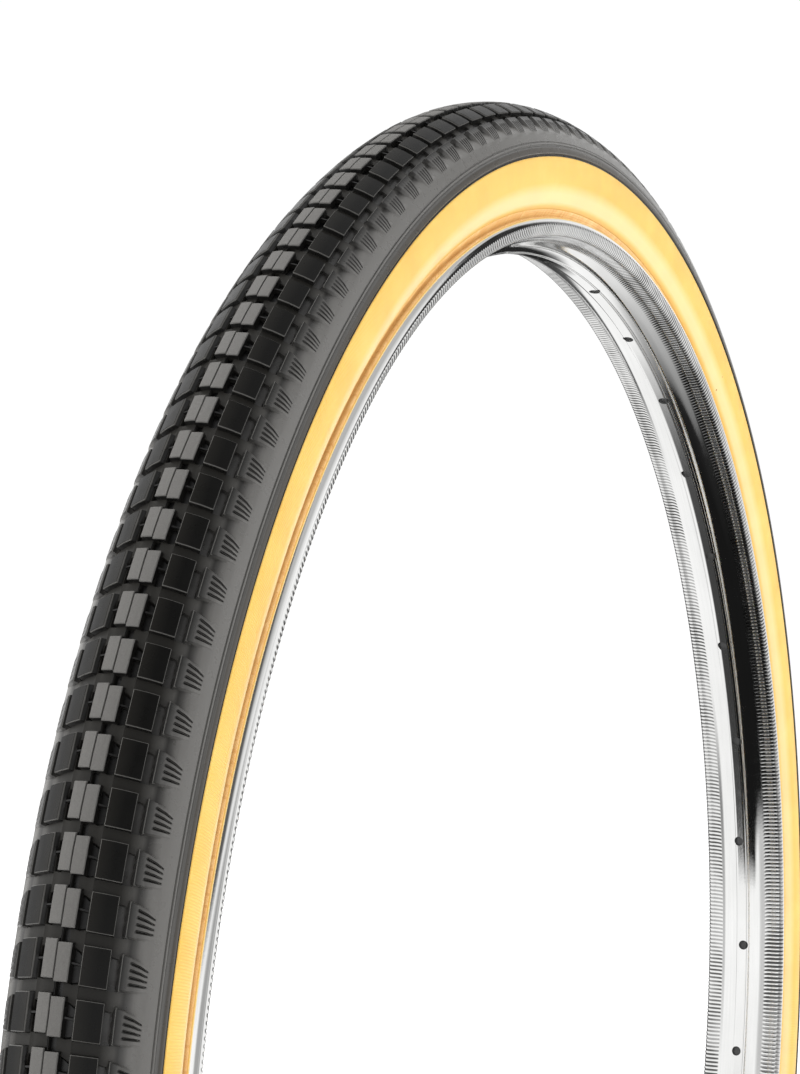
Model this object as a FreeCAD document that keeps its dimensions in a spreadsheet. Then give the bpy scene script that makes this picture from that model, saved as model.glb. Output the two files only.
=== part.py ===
# Bicycle tyre fitted on its rolled-edge steel rim, with inner tube and valve.
# All lengths are in millimetres.
#
# Frame: origin at the wheel's centre, +Y along the axle (towards the wheel's
# left side), +Z up. The valve stands at the bottom of the rim, on the -Z side,
# and points at the axle. Every ring is revolved about Y; every valve piece is
# revolved about its own axis, which is parallel to Z.
import FreeCAD, Part
import Sketcher
import math
import os

V = FreeCAD.Vector
doc = FreeCAD.newDocument("bicycle_tyre_on_rim")

# ----------------------------------------------------------------------------
# Driving dimensions
# ----------------------------------------------------------------------------
PARAMS = [
    ("outer_radius", 359.0, "tyre outer radius over the tread blocks"),
    ("bead_seat_radius", 311.0, "rim bead seat radius (622 mm bead seat diameter)"),
    ("section_half_width", 22.2, "half of the inflated section width"),
    ("ply_thickness", 0.6, "one rubberised casing ply"),
    ("skin_thickness", 1.2, "gum sidewall rubber"),
    ("breaker_thickness", 0.8, "puncture strip under the tread"),
    ("groove_depth", 2.8, "depth of the circumferential tread grooves"),
    ("wire_radius", 0.95, "bead wire bundle radius"),
    ("wire_ring_rise", 2.15, "bead wire centre above the bead seat"),
    ("wire_half_spacing", 12.0, "bead wire centre from the wheel's mid plane"),
    ("tube_wall", 1.0, "inner tube wall"),
    ("rim_bed_radius", 304.2, "hub-side face of the rim's spoke bed"),
    ("rim_sheet", 1.2, "rolled steel sheet thickness"),
    ("rim_half_width", 19.3, "half of the rim's outer width over the rolled edges"),
    ("rim_edge_radius", 317.0, "top of the rolled edges"),
    ("spoke_hole_radius", 2.3, "spoke nipple holes"),
    ("spoke_hole_offset", 0.9, "stagger of the spoke holes from the mid plane"),
    ("spoke_hole_count", 36, "spoke holes"),
    ("valve_hole_radius", 4.25, "valve hole in the rim"),
    ("stem_radius", 3.85, "valve stem over its thread"),
    ("stem_foot_radius", 5.4, "foot of the stem inside the tube"),
    ("stem_tip_radius_pos", 272.0, "distance of the stem's tip from the axle"),
    ("stem_bore_radius", 2.6, "core chamber in the stem"),
    ("barrel_radius", 2.52, "valve core barrel"),
    ("pin_radius", 0.8, "valve core pin"),
    ("spring_wire_radius", 0.2, "core spring wire"),
    ("spring_mean_radius", 1.32, "core spring coil radius"),
    ("nut_flats", 12.0, "rim nut across flats"),
    ("nut_height", 3.0, "rim nut height"),
    ("thread_clearance", 0.05, "radial running clearance on the stem's thread"),
    ("washer_radius", 7.0, "rim washer"),
    ("washer_height", 1.0, "rim washer thickness"),
    ("cap_radius", 4.9, "valve cap body"),
    ("cap_length", 10.5, "valve cap length"),
    ("cap_engagement", 7.0, "length of stem thread inside the cap"),
]
sheet = doc.addObject("Spreadsheet::Sheet", "Params")
val = {}
for i, (alias, value, note) in enumerate(PARAMS):
    row = i + 1
    sheet.set("A%d" % row, note)
    sheet.set("B%d" % row, str(value))
    sheet.setAlias("B%d" % row, alias)
    val[alias] = float(value)
doc.recompute()


class Lin:
    """A linear expression in the sheet's aliases: a number for the first
    layout of a sketch and the text of the expression that drives it."""

    def __init__(self, const=0.0, terms=None):
        self.const = float(const)
        self.terms = dict(terms or {})

    def __add__(self, other):
        other = other if isinstance(other, Lin) else Lin(other)
        terms = dict(self.terms)
        for key, coef in other.terms.items():
            terms[key] = terms.get(key, 0.0) + coef
        return Lin(self.const + other.const, terms)

    __radd__ = __add__

    def __mul__(self, k):
        return Lin(self.const * k, {a: c * k for a, c in self.terms.items()})

    __rmul__ = __mul__

    def __neg__(self):
        return self * -1.0

    def __sub__(self, other):
        return self + (-other if isinstance(other, Lin) else -float(other))

    def __rsub__(self, other):
        return (-self) + other

    def value(self):
        return self.const + sum(val[a] * c for a, c in self.terms.items())

    def text(self):
        parts = []
        for a, c in self.terms.items():
            if abs(c) > 1e-12:
                parts.append("%+.6f * <<Params>>.%s" % (c, a))
        if abs(self.const) > 1e-12 or not parts:
            parts.append("%+.6f" % self.const)
        return " ".join(parts).lstrip("+").replace("- ", "-")


def P(alias):
    return Lin(0.0, {alias: 1.0})


def L(x):
    return x if isinstance(x, Lin) else Lin(x)


def plane_of(body, role):
    for feature in body.Origin.OriginFeatures:
        if feature.Role == role:
            return feature
    raise RuntimeError(role)


def polygon_sketch(body, name, role, loops, offset=None):
    """Closed polygons, every vertex held by two driven dimensions."""
    sk = body.newObject("Sketcher::SketchObject", name)
    sk.AttachmentSupport = (plane_of(body, role), [""])
    sk.MapMode = "FlatFace"
    if offset is not None:
        sk.AttachmentOffset = offset
    geos, cons, exprs = [], [], []
    for loop in loops:
        loop = [(L(a), L(b)) for a, b in loop]
        base = len(geos)
        n = len(loop)
        for i in range(n):
            a, b = loop[i], loop[(i + 1) % n]
            geos.append(Part.LineSegment(V(a[0].value(), a[1].value(), 0), V(b[0].value(), b[1].value(), 0)))
        for i in range(n):
            cons.append(Sketcher.Constraint("Coincident", base + i, 2, base + (i + 1) % n, 1))
            exprs.append(None)
            for axis, q in (("DistanceX", loop[i][0]), ("DistanceY", loop[i][1])):
                if abs(q.value()) < 1e-9:
                    cons.append(Sketcher.Constraint("PointOnObject", base + i, 1, -2 if axis == "DistanceX" else -1))
                    exprs.append(None)
                else:
                    cons.append(Sketcher.Constraint(axis, -1, 1, base + i, 1, q.value()))
                    exprs.append(q.text() if q.terms else None)
    sk.addGeometry(geos, False)
    sk.addConstraint(cons)
    for i, text in enumerate(exprs):
        if text is not None:
            sk.setExpression("Constraints[%d]" % i, text)
    return sk


def circle_sketch(body, name, role, circles, offset=None):
    """Circles (x, y, radius), all driven."""
    sk = body.newObject("Sketcher::SketchObject", name)
    sk.AttachmentSupport = (plane_of(body, role), [""])
    sk.MapMode = "FlatFace"
    if offset is not None:
        sk.AttachmentOffset = offset
    for x, y, r in circles:
        x, y, r = L(x), L(y), L(r)
        g = sk.addGeometry(Part.Circle(V(x.value(), y.value(), 0), V(0, 0, 1), r.value()), False)
        for kind, q in (("DistanceX", x), ("DistanceY", y)):
            if abs(q.value()) < 1e-9:
                sk.addConstraint(Sketcher.Constraint("PointOnObject", g, 3, -2 if kind == "DistanceX" else -1))
            else:
                c = sk.addConstraint(Sketcher.Constraint(kind, -1, 1, g, 3, q.value()))
                if q.terms:
                    sk.setExpression("Constraints[%d]" % c, q.text())
        c = sk.addConstraint(Sketcher.Constraint("Radius", g, r.value()))
        if r.terms:
            sk.setExpression("Constraints[%d]" % c, r.text())
    return sk


def area_centroid(loop):
    pts = [(L(a).value(), L(b).value()) for a, b in loop]
    s = cx = 0.0
    for i in range(len(pts)):
        x0, y0 = pts[i]
        x1, y1 = pts[(i + 1) % len(pts)]
        k = x0 * y1 - x1 * y0
        s += k
        cx += (x0 + x1) * k
    return abs(s / 2.0), cx / (3.0 * s)


EXPECT = {}      # label -> volume that the section gives by Pappus' rule


def ring(name, loops):
    """A body revolved about the wheel's axle from (radius, y) polygons."""
    body = doc.addObject("PartDesign::Body", name)
    body.Label = name
    sk = polygon_sketch(body, name + "_section", "XY_Plane", loops)
    rev = body.newObject("PartDesign::Revolution", name + "_turn")
    rev.Profile = sk
    rev.ReferenceAxis = (sk, ["V_Axis"])
    rev.Angle = 360.0
    body.Tip = rev
    total = 0.0
    for i, loop in enumerate(loops):
        a, c = area_centroid(loop)
        total += (1 if i == 0 else -1) * a * c * 2 * math.pi
    EXPECT[name] = total
    return body


def turned(name, loops, z0):
    """A body revolved about its own Z axis from (radius, z) polygons, placed
    at height z0 on the valve's axis. z0 is a linear expression."""
    body = doc.addObject("PartDesign::Body", name)
    body.Label = name
    sk = polygon_sketch(body, name + "_section", "XZ_Plane", loops)
    rev = body.newObject("PartDesign::Revolution", name + "_turn")
    rev.Profile = sk
    rev.ReferenceAxis = (sk, ["V_Axis"])
    rev.Angle = 360.0
    body.Tip = rev
    z0 = L(z0)
    body.Placement = FreeCAD.Placement(V(0, 0, z0.value()), FreeCAD.Rotation())
    body.setExpression("Placement.Base.z", z0.text())
    total = 0.0
    for i, loop in enumerate(loops):
        a, c = area_centroid(loop)
        total += (1 if i == 0 else -1) * a * c * 2 * math.pi
    EXPECT[name] = total
    return body


def both_sides(half):
    """Mirror an open half section, given from the mid plane outwards and back
    to the mid plane, into one closed polygon."""
    other = [(a, -L(b)) for a, b in reversed(half) if abs(L(b).value()) > 1e-9]
    return list(half) + other


def mirrored(loop):
    return [(a, -L(b)) for a, b in loop]


# ----------------------------------------------------------------------------
# Tyre section. Each station is on the outer face of the casing: height and
# width as fractions of the section, the outward normal (up, out), then the
# outer surface of the rubber at the same station. Bead first, crown last.
# ----------------------------------------------------------------------------
STATIONS = [
    (0.0750, 0.5743, 0.0000, 1.0000, 0.0750, 0.6284),
    (0.1271, 0.5995, -0.4020, 0.9156, 0.1167, 0.6486),
    (0.1654, 0.6601, -0.6105, 0.7920, 0.1500, 0.7027),
    (0.1936, 0.7104, -0.5790, 0.8154, 0.1792, 0.7545),
    (0.2620, 0.8084, -0.4810, 0.8767, 0.2500, 0.8559),
    (0.3415, 0.8859, -0.3282, 0.9446, 0.3333, 0.9369),
    (0.4251, 0.9310, -0.1720, 0.9851, 0.4208, 0.9842),
    (0.5007, 0.9460, -0.0274, 0.9996, 0.5000, 1.0000),
    (0.5666, 0.9394, 0.1317, 0.9913, 0.5688, 0.9932),
    (0.6290, 0.9091, 0.3341, 0.9426, 0.6354, 0.9752),
    (0.6967, 0.8397, 0.5853, 0.8108, 0.7125, 0.9279),
    (0.7456, 0.7271, 0.8151, 0.5794, 0.7833, 0.8514),
    (0.7781, 0.5922, 0.8710, 0.4913, 0.8458, 0.7387),
    (0.8148, 0.4617, 0.8533, 0.5214, 0.9000, 0.5991),
    (0.8496, 0.3391, 0.8755, 0.4832, 0.9438, 0.4550),
    (0.8760, 0.2223, 0.9297, 0.3683, 0.9771, 0.3063),
    (0.8868, 0.1360, 0.9885, 0.1511, 0.9937, 0.1734),
    (0.8917, 0.0000, 1.0000, 0.0000, 1.0000, 0.0000),
]
CROWN = len(STATIONS) - 1
TREAD_EDGE = 8        # station where the black tread meets the gum sidewall
CHAFER_TOP = 3        # station where the chafer and the turned-up ply end
BREAKER_EDGE = 13     # station where the puncture strip ends
height = P("outer_radius") - P("bead_seat_radius")
half_width = P("section_half_width")


def casing(i, out=0.0):
    """Point off the casing's outer face at station i; out is a distance along
    the normal, positive outwards."""
    a, b, nr, ny = STATIONS[i][:4]
    out = L(out)
    return (P("bead_seat_radius") + height * a + out * nr, half_width * b + out * ny)


def surface(i):
    a, b = STATIONS[i][4:]
    return (P("bead_seat_radius") + height * a, half_width * b)


ply = P("ply_thickness")
seat = P("bead_seat_radius")
wire_r = seat + P("wire_ring_rise")
wire_y = P("wire_half_spacing")


def around_wire(dist, deg):
    """Corner of the eight-sided wrap round the bead wire."""
    k = 1.0 / math.cos(math.radians(22.5))
    c, s = k * math.cos(math.radians(deg)), k * math.sin(math.radians(deg))
    return (wire_r + L(dist) * c, wire_y + L(dist) * s)


wrap_in = P("wire_radius") + 0.05
wrap_out = wrap_in + ply
WRAP = (-67.5, -112.5, -157.5, 157.5, 112.5, 67.5)     # inboard, under, outboard

# Inner casing ply: bead to bead, turned up round both bead wires.
half = [casing(CROWN, -ply)]
half += [casing(i, -ply) for i in range(CROWN - 1, -1, -1)]
half += [around_wire(wrap_in, d) for d in WRAP]
half += [casing(i) for i in range(0, CHAFER_TOP + 1)]
half += [casing(i, ply) for i in range(CHAFER_TOP, -1, -1)]
half += [around_wire(wrap_out, d) for d in reversed(WRAP)]
half += [casing(i, -2 * ply) for i in range(0, CROWN + 1)]
ring("inner_casing_ply", [both_sides(half)])

# Outer casing ply: stops on top of the bead wires.
half = [casing(i) for i in range(CROWN, -1, -1)] + [casing(i, -ply) for i in range(0, CROWN + 1)]
ring("outer_casing_ply", [both_sides(half)])

# Bead wires: one steel bundle in each bead.
for side, name in ((1, "left_bead_wire"), (-1, "right_bead_wire")):
    body = doc.addObject("PartDesign::Body", name)
    body.Label = name
    sk = circle_sketch(body, name + "_section", "XY_Plane", [(wire_r, wire_y * side, P("wire_radius"))])
    rev = body.newObject("PartDesign::Revolution", name + "_turn")
    rev.Profile = sk
    rev.ReferenceAxis = (sk, ["V_Axis"])
    rev.Angle = 360.0
    body.Tip = rev
    EXPECT[name] = 2 * math.pi ** 2 * val["wire_radius"] ** 2 * wire_r.value()

# Chafers: the rim strips that wrap each bead.
toe_y = half_width * 0.4437
chafer = [surface(i) for i in range(CHAFER_TOP, -1, -1)]
chafer += [(seat + 1.4, half_width * 0.6284), (seat, half_width * 0.581), (seat, half_width * 0.4955),
           (seat + 1.3, toe_y), (around_wire(wrap_out, -67.5)[0], toe_y)]
chafer += [around_wire(wrap_out, d) for d in WRAP]
chafer += [casing(i, ply) for i in range(0, CHAFER_TOP + 1)]
ring("left_chafer", [chafer])
ring("right_chafer", [mirrored(chafer)])

# Gum sidewalls: from the chafer's edge to the black tread.
gum = [surface(i) for i in range(CHAFER_TOP, TREAD_EDGE + 1)]
gum += [casing(i) for i in range(TREAD_EDGE, CHAFER_TOP - 1, -1)]
ring("left_sidewall", [gum])
ring("right_sidewall", [mirrored(gum)])

# Puncture strip under the tread.
strip = P("breaker_thickness")
half = [casing(i) for i in range(CROWN, BREAKER_EDGE - 1, -1)]
half += [casing(i, strip) for i in range(BREAKER_EDGE, CROWN + 1)]
ring("breaker_strip", [both_sides(half)])

# Tread cap with its four circumferential grooves. The rows of blocks stand
# between the grooves; the crown height is the height of the blocks.
gd = P("groove_depth")


def sunk(i, depth, shift=0.0):
    """Point below the tread surface at station i."""
    a, b, nr, ny = STATIONS[i][:4]
    r, y = surface(i)
    return (r - L(depth) * nr, y - L(depth) * ny + shift)


half = [surface(CROWN), surface(16), sunk(16, gd), sunk(15, gd), surface(15), surface(14),
        surface(13), sunk(13, gd), sunk(12, gd * 0.8), surface(12),
        surface(11), surface(10), surface(9), surface(8)]
half += [casing(i) for i in range(TREAD_EDGE, BREAKER_EDGE + 1)]
half += [casing(i, strip) for i in range(BREAKER_EDGE, CROWN + 1)]
ring("tread_cap", [both_sides(half)])

# ----------------------------------------------------------------------------
# Rim: one strip of steel, rolled at both edges, with a raised spoke bed.
# ----------------------------------------------------------------------------
bed = P("rim_bed_radius")
sheet_t = P("rim_sheet")
rw = P("rim_half_width")
edge = P("rim_edge_radius")
half = [
    # hub side, from the mid plane to the rolled edge
    (bed, L(0)), (bed, rw * 0.114), (bed + 0.5, rw * 0.140), (bed + 0.85, rw * 0.332), (bed + 1.3, rw * 0.430),
    (seat - sheet_t - 2.2, rw * 0.518), (seat - sheet_t - 0.35, rw * 0.601), (seat - sheet_t, rw * 0.705),
    (seat - sheet_t - 0.2, rw * 0.800), (seat - sheet_t + 0.45, rw * 0.865), (seat + 0.6, rw * 0.927),
    (seat + 2.1, rw * 0.977), (edge - 2.3, rw), (edge - 1.0, rw * 0.972), (edge - 0.25, rw * 0.922),
    (edge, rw * 0.865), (edge - 0.3, rw * 0.806), (edge - 1.1, rw * 0.755), (edge - 2.6, rw * 0.728),
    (seat + 0.8, rw * 0.728),
    # end of the strip, then back along its inner face
    (seat + 0.8, rw * 0.728 + sheet_t * 0.917), (edge - 2.7, rw * 0.728 + sheet_t * 0.917), (edge - 1.6, rw * 0.814),
    (edge - 1.15, rw * 0.865), (edge - 1.5, rw * 0.912), (edge - 2.5, rw - sheet_t), (seat + 2.3, rw * 0.977 - sheet_t),
    (seat + 1.2, rw * 0.884), (seat + 0.2, rw * 0.827), (seat, rw * 0.790),
    (seat, rw * 0.617), (seat - 0.7, rw * 0.560), (seat - 2.9, rw * 0.466), (bed + 2.35, rw * 0.368),
    (bed + 2.0, rw * 0.300), (bed + 1.7, rw * 0.125), (bed + sheet_t, rw * 0.098), (bed + sheet_t, L(0)),
]
ring("rim_ring", [both_sides(half)])
doc.recompute()

# Radial holes: the spoke nipples' holes, staggered either side of the mid
# plane, and the valve's hole at the bottom. Wheel angles are counted from +X
# towards +Z.
count = int(val["spoke_hole_count"])
drills = []


def drill(name, wheel_angle, offset_y, radius):
    """Cylinder along the wheel's radius, through the spoke bed only."""
    c, s = math.cos(math.radians(wheel_angle)), math.sin(math.radians(wheel_angle))
    cyl = doc.addObject("Part::Cylinder", name)
    cyl.setExpression("Radius", L(radius).text())
    cyl.Radius = L(radius).value()
    cyl.Height = 20.0
    begin = bed - 8.0
    cyl.Placement = FreeCAD.Placement(V(begin.value() * c, L(offset_y).value(), begin.value() * s),
                                      FreeCAD.Rotation(V(0, 0, 1), V(c, 0, s)))
    cyl.setExpression("Placement.Base.x", (begin * c).text())
    cyl.setExpression("Placement.Base.z", (begin * s).text())
    cyl.setExpression("Placement.Base.y", L(offset_y).text())
    drills.append(cyl)


for i in range(count):
    drill("spoke_drill_%02d" % (i + 1), 360.0 / count * (i + 0.5), P("spoke_hole_offset") * (1 if i % 2 == 0 else -1),
          P("spoke_hole_radius"))
drill("valve_drill", 270.0, L(0), P("valve_hole_radius"))
tools = doc.addObject("Part::MultiFuse", "rim_drills")
tools.Shapes = drills
rim = doc.addObject("Part::Cut", "rim")
rim.Label = "rim"
rim.Base = doc.getObject("rim_ring")
rim.Tool = tools
doc.recompute()
removed = doc.getObject("rim_ring").Shape.Volume - rim.Shape.Volume
holes = (count * val["spoke_hole_radius"] ** 2 + val["valve_hole_radius"] ** 2) * math.pi * val["rim_sheet"]
print("rim holes take %.1f mm3, about %.1f is expected" % (removed, holes))
if not 0.85 * holes < removed < 1.3 * holes:
    raise RuntimeError("the rim's holes are wrong")
EXPECT["rim"] = None


# A ring with a round hole at the valve.
def valve_hole_in(body, radius, start, length):
    """Pocket along the valve axis: start and length are measured from the axle
    towards -Z."""
    name = body.Label + "_valve_hole"
    sk = circle_sketch(body, name + "_circle", "XY_Plane", [(L(0), L(0), radius)])
    sk.AttachmentOffset = FreeCAD.Placement(V(0, 0, -start), FreeCAD.Rotation())
    doc.recompute()
    before = body.Tip.Shape.Volume
    cut = body.newObject("PartDesign::Pocket", name)
    cut.Profile = sk
    cut.Type = 0
    cut.Length = length
    cut.Reversed = False
    body.Tip = cut
    doc.recompute()
    after = cut.Shape.Volume
    if not before - after > 1.0:
        raise RuntimeError("the valve hole missed " + body.Label)
    EXPECT[body.Label] = None


# Rim tape: lies in the well over the spoke heads' holes.
half = [
    (bed + sheet_t, L(0)), (bed + sheet_t, rw * 0.098), (bed + 1.7, rw * 0.125), (bed + 2.0, rw * 0.300),
    (bed + 2.35, rw * 0.368), (seat - 2.9, rw * 0.466),
    (seat - 2.5, rw * 0.430), (bed + 3.15, rw * 0.352), (bed + 2.8, rw * 0.318), (bed + 2.8, L(0)),
]
tape = ring("rim_tape", [both_sides(half)])
valve_hole_in(tape, P("valve_hole_radius"), 296.0, 20.0)

# Inner tube: follows the casing, the chafers' toes and the tape; hollow, with
# a flat pad zone for the valve.
tw = P("tube_wall")
half = [(bed + 2.8, L(0)), (bed + 2.8, rw * 0.318), (bed + 3.15, rw * 0.352), (seat - 2.5, rw * 0.430),
        (seat + 0.2, rw * 0.487), (seat + 1.3, toe_y), (around_wire(wrap_out, -67.5)[0], toe_y),
        around_wire(wrap_out, -67.5)]
half += [casing(i, -2 * ply) for i in range(0, CROWN + 1)]
outer_loop = both_sides(half)
half = [(bed + 3.9, L(0)), (bed + 3.9, rw * 0.305), (seat - 1.6, rw * 0.385), (seat + 0.6, rw * 0.432),
        (seat + 1.8, toe_y - tw), (wire_r + 1.2, toe_y - tw * 0.9)]
half += [casing(i, -2 * ply - tw) for i in range(1, CROWN + 1)]
inner_loop = both_sides(half)
tube = ring("inner_tube", [outer_loop, inner_loop])
doc.recompute()
valve_hole_in(tube, P("stem_radius"), 300.0, 12.0)

# ----------------------------------------------------------------------------
# Valve. Heights are counted from the stem's tip, positive towards the axle.
# ----------------------------------------------------------------------------
tip = -P("stem_tip_radius_pos")
foot_z = -(bed + 3.9) - tip                 # tube floor, relative to the tip
sr = P("stem_radius")
fr = P("stem_foot_radius")
sb = P("stem_bore_radius")

# Rubber pad that seals the stem to the tube, inside the tube.
turned("tube_valve_base", [[(sr, foot_z), (fr + 0.4, foot_z), (fr + 0.1, foot_z - 1.5), (sr, foot_z - 1.5)]], tip)

# Brass stem with its foot, a core chamber and a narrow throat.
stem = [
    (L(1.5), foot_z - 2.8), (fr, foot_z - 2.8), (fr, foot_z - 1.5), (sr, foot_z - 1.5), (sr, L(-0.6)), (sr - 0.6, L(0)),
    (sb, L(0)), (sb, L(-22.6)), (L(1.5), L(-24.2)),
]
turned("valve_stem", [stem], tip)

# Valve core: barrel, sealing ring, spring, pin with its seal and cup.
br = P("barrel_radius")
chamber = P("spring_mean_radius") + P("spring_wire_radius") + 0.3
pin = P("pin_radius")
barrel = [
    (pin + 0.08, L(-17.0)), (br, L(-17.0)), (br, L(-11.6)), (br - 0.5, L(-11.6)), (br - 0.5, L(-9.4)), (br, L(-9.4)),
    (br, L(-1.0)), (chamber, L(-1.0)), (chamber, L(-15.4)), (pin + 0.08, L(-15.4)),
]
turned("core_barrel", [barrel], tip)
turned("core_gasket", [[(br - 0.5, L(-11.6)), (sb, L(-11.3)), (sb, L(-9.7)), (br - 0.5, L(-9.4))]], tip)
turned("core_pin", [[(L(0), L(-20.6)), (pin, L(-20.6)), (pin, L(-3.2)), (chamber - 0.12, L(-3.2)), (chamber - 0.12, L(-2.2)),
                     (pin, L(-1.9)), (pin, L(-0.5)), (pin * 0.7, L(-0.3)), (L(0), L(-0.3))]], tip)
turned("pin_seal", [[(pin, L(-18.2)), (br - 0.45, L(-18.2)), (br - 0.6, L(-17.05)), (pin, L(-17.05))]], tip)
turned("pin_cup", [[(pin, L(-19.6)), (br - 0.7, L(-19.6)), (br - 0.3, L(-18.2)), (pin, L(-18.2))]], tip)

# Core spring: a round-wire coil between the barrel's floor and the pin's
# collar. A helix has no primitive feature of its own here, so its shape is set
# from the sheet's sizes.
spring_r = val["spring_mean_radius"]
spring_w = val["spring_wire_radius"]
z_low, z_high = -15.4 + spring_w + 0.02, -3.2 - spring_w - 0.02
turns = 8.0
helix = Part.makeHelix((z_high - z_low) / turns, z_high - z_low, spring_r)
start = V(spring_r, 0, 0)
section = Part.Wire([Part.Circle(start, V(0, spring_r, (z_high - z_low) / turns / (2 * math.pi)), spring_w).toShape()])
coil = Part.Wire(helix.Edges).makePipeShell([section], True, True)
if coil.ShapeType != "Solid":
    coil = Part.Solid(Part.Shell(coil.Faces)) if not coil.Solids else coil.Solids[0]
spring = doc.addObject("Part::Feature", "core_spring")
spring.Label = "core_spring"
spring.Shape = coil
spring.Placement = FreeCAD.Placement(V(0, 0, -val["stem_tip_radius_pos"] + z_low), FreeCAD.Rotation())
EXPECT["core_spring"] = math.pi * spring_w ** 2 * turns * math.hypot(2 * math.pi * spring_r, (z_high - z_low) / turns)

# Valve cap: a ribbed shell with a rubber disc in its crown.
cr = P("cap_radius")
open_z = -P("cap_engagement")
top_z = open_z + P("cap_length")
bore = sr + P("thread_clearance")
cap_loop = [(bore, open_z), (cr - 0.3, open_z), (cr, open_z + 0.6), (cr, top_z - 3.0), (cr - 0.7, top_z - 0.8), (cr - 2.0, top_z),
            (L(0), top_z), (L(0), top_z - 1.2), (sr - 0.3, top_z - 1.2), (sr - 0.3, L(0.06)), (bore, L(0.06))]
cap = turned("valve_cap", [cap_loop], tip)
doc.recompute()
cap_plain = cap.Tip.Shape.Volume
groove_sk = circle_sketch(cap, "cap_rib_groove", "XY_Plane", [(cr + 0.35, L(0), L(0.6))])
groove_sk.AttachmentOffset = FreeCAD.Placement(V(0, 0, (open_z + 1.4).value()), FreeCAD.Rotation())
doc.recompute()
groove = cap.newObject("PartDesign::Pocket", "cap_groove")
groove.Profile = groove_sk
groove.Type = 0
groove.Length = 4.6
groove.Reversed = True
cap.Tip = groove
doc.recompute()
ribs = cap.newObject("PartDesign::PolarPattern", "cap_ribs")
ribs.Originals = [groove]
ribs.Axis = (groove_sk, ["N_Axis"])
ribs.Angle = 360.0
ribs.Occurrences = 16
cap.Tip = ribs
doc.recompute()
if not cap_plain - cap.Tip.Shape.Volume > 5.0:
    raise RuntimeError("the cap's grooves cut nothing: %g" % (cap_plain - cap.Tip.Shape.Volume))
EXPECT["valve_cap"] = None
turned("cap_seal", [[(L(0), L(0.03)), (sr - 0.35, L(0.03)), (sr - 0.35, top_z - 1.25), (L(0), top_z - 1.25)]], tip)

# Rim washer and hexagonal rim nut, down on the spoke bed.
seat_z = -(bed - 0.2)
wh = P("washer_height")
turned("rim_washer", [[(sr + 0.3, L(0)), (P("washer_radius"), L(0)), (P("washer_radius"), wh * 0.7),
                       (P("washer_radius") - 0.3, wh), (sr + 0.3, wh)]], seat_z)
nut = doc.addObject("PartDesign::Body", "rim_nut")
nut.Label = "rim_nut"
flat = P("nut_flats")
k = 1.0 / math.sqrt(3.0)
hexagon = [(flat * (k * math.cos(math.radians(60 * i + 30))), flat * (k * math.sin(math.radians(60 * i + 30)))) for i in range(6)]
nut_sk = polygon_sketch(nut, "nut_hexagon", "XY_Plane", [hexagon])
pad = nut.newObject("PartDesign::Pad", "nut_pad")
pad.Profile = nut_sk
pad.Length = val["nut_height"]
pad.setExpression("Length", "<<Params>>.nut_height")
nut.Tip = pad
doc.recompute()
hole_sk = circle_sketch(nut, "nut_bore_circle", "XY_Plane", [(L(0), L(0), sr + P("thread_clearance"))])
doc.recompute()
hole = nut.newObject("PartDesign::Pocket", "nut_bore")
hole.Profile = hole_sk
hole.Type = 0
hole.Length = val["nut_height"]
hole.setExpression("Length", "<<Params>>.nut_height")
hole.Reversed = True
nut.Tip = hole
doc.recompute()
corner = flat.value() * k
bevel_sk = polygon_sketch(nut, "nut_bevel_section", "XZ_Plane",
                          [[(flat * 0.5 + 0.05, P("nut_height") + 0.1), (flat * 0.66, P("nut_height") + 0.1),
                            (flat * 0.66, P("nut_height") - 0.72)]])
doc.recompute()
bevel = nut.newObject("PartDesign::Groove", "nut_bevel")
bevel.Profile = bevel_sk
bevel.ReferenceAxis = (bevel_sk, ["V_Axis"])
bevel.Angle = 360.0
nut.Tip = bevel
nut_z = seat_z + wh + 0.02
nut.Placement = FreeCAD.Placement(V(0, 0, nut_z.value()), FreeCAD.Rotation())
nut.setExpression("Placement.Base.z", nut_z.text())
doc.recompute()
hex_area = math.sqrt(3.0) / 2.0 * val["nut_flats"] ** 2
full = (hex_area - math.pi * (val["stem_radius"] + val["thread_clearance"]) ** 2) * val["nut_height"]
if not 0.9 * full < nut.Shape.Volume < full:
    raise RuntimeError("the nut's bore or bevel is wrong: %g of %g" % (nut.Shape.Volume, full))
EXPECT["rim_nut"] = None

# ----------------------------------------------------------------------------
# Check and write
# ----------------------------------------------------------------------------
doc.recompute()
NODES = [
    "tread_cap", "breaker_strip", "outer_casing_ply", "inner_casing_ply", "left_sidewall", "right_sidewall",
    "left_bead_wire", "right_bead_wire", "left_chafer", "right_chafer", "inner_tube", "tube_valve_base",
    "valve_stem", "core_barrel", "core_gasket", "core_pin", "pin_seal", "pin_cup", "core_spring", "valve_cap",
    "cap_seal", "rim_washer", "rim_nut", "rim_tape", "rim",
]
for obj in doc.Objects:
    if "Invalid" in obj.State or "Error" in obj.State:
        raise RuntimeError("%s failed: %s" % (obj.Label, obj.State))
by_label = {obj.Label: obj for obj in doc.Objects if obj.Label in NODES}
for name in NODES:
    shape = by_label[name].Shape
    if shape.isNull() or not shape.isValid():
        raise RuntimeError(name + " has no valid shape")
    if len(shape.Solids) != 1:
        raise RuntimeError("%s has %d solids" % (name, len(shape.Solids)))
    want = EXPECT.get(name)
    if want is not None and abs(shape.Volume - want) > 0.01 * want:
        raise RuntimeError("%s has volume %g, its section gives %g" % (name, shape.Volume, want))
os.makedirs("parts", exist_ok=True)
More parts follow.
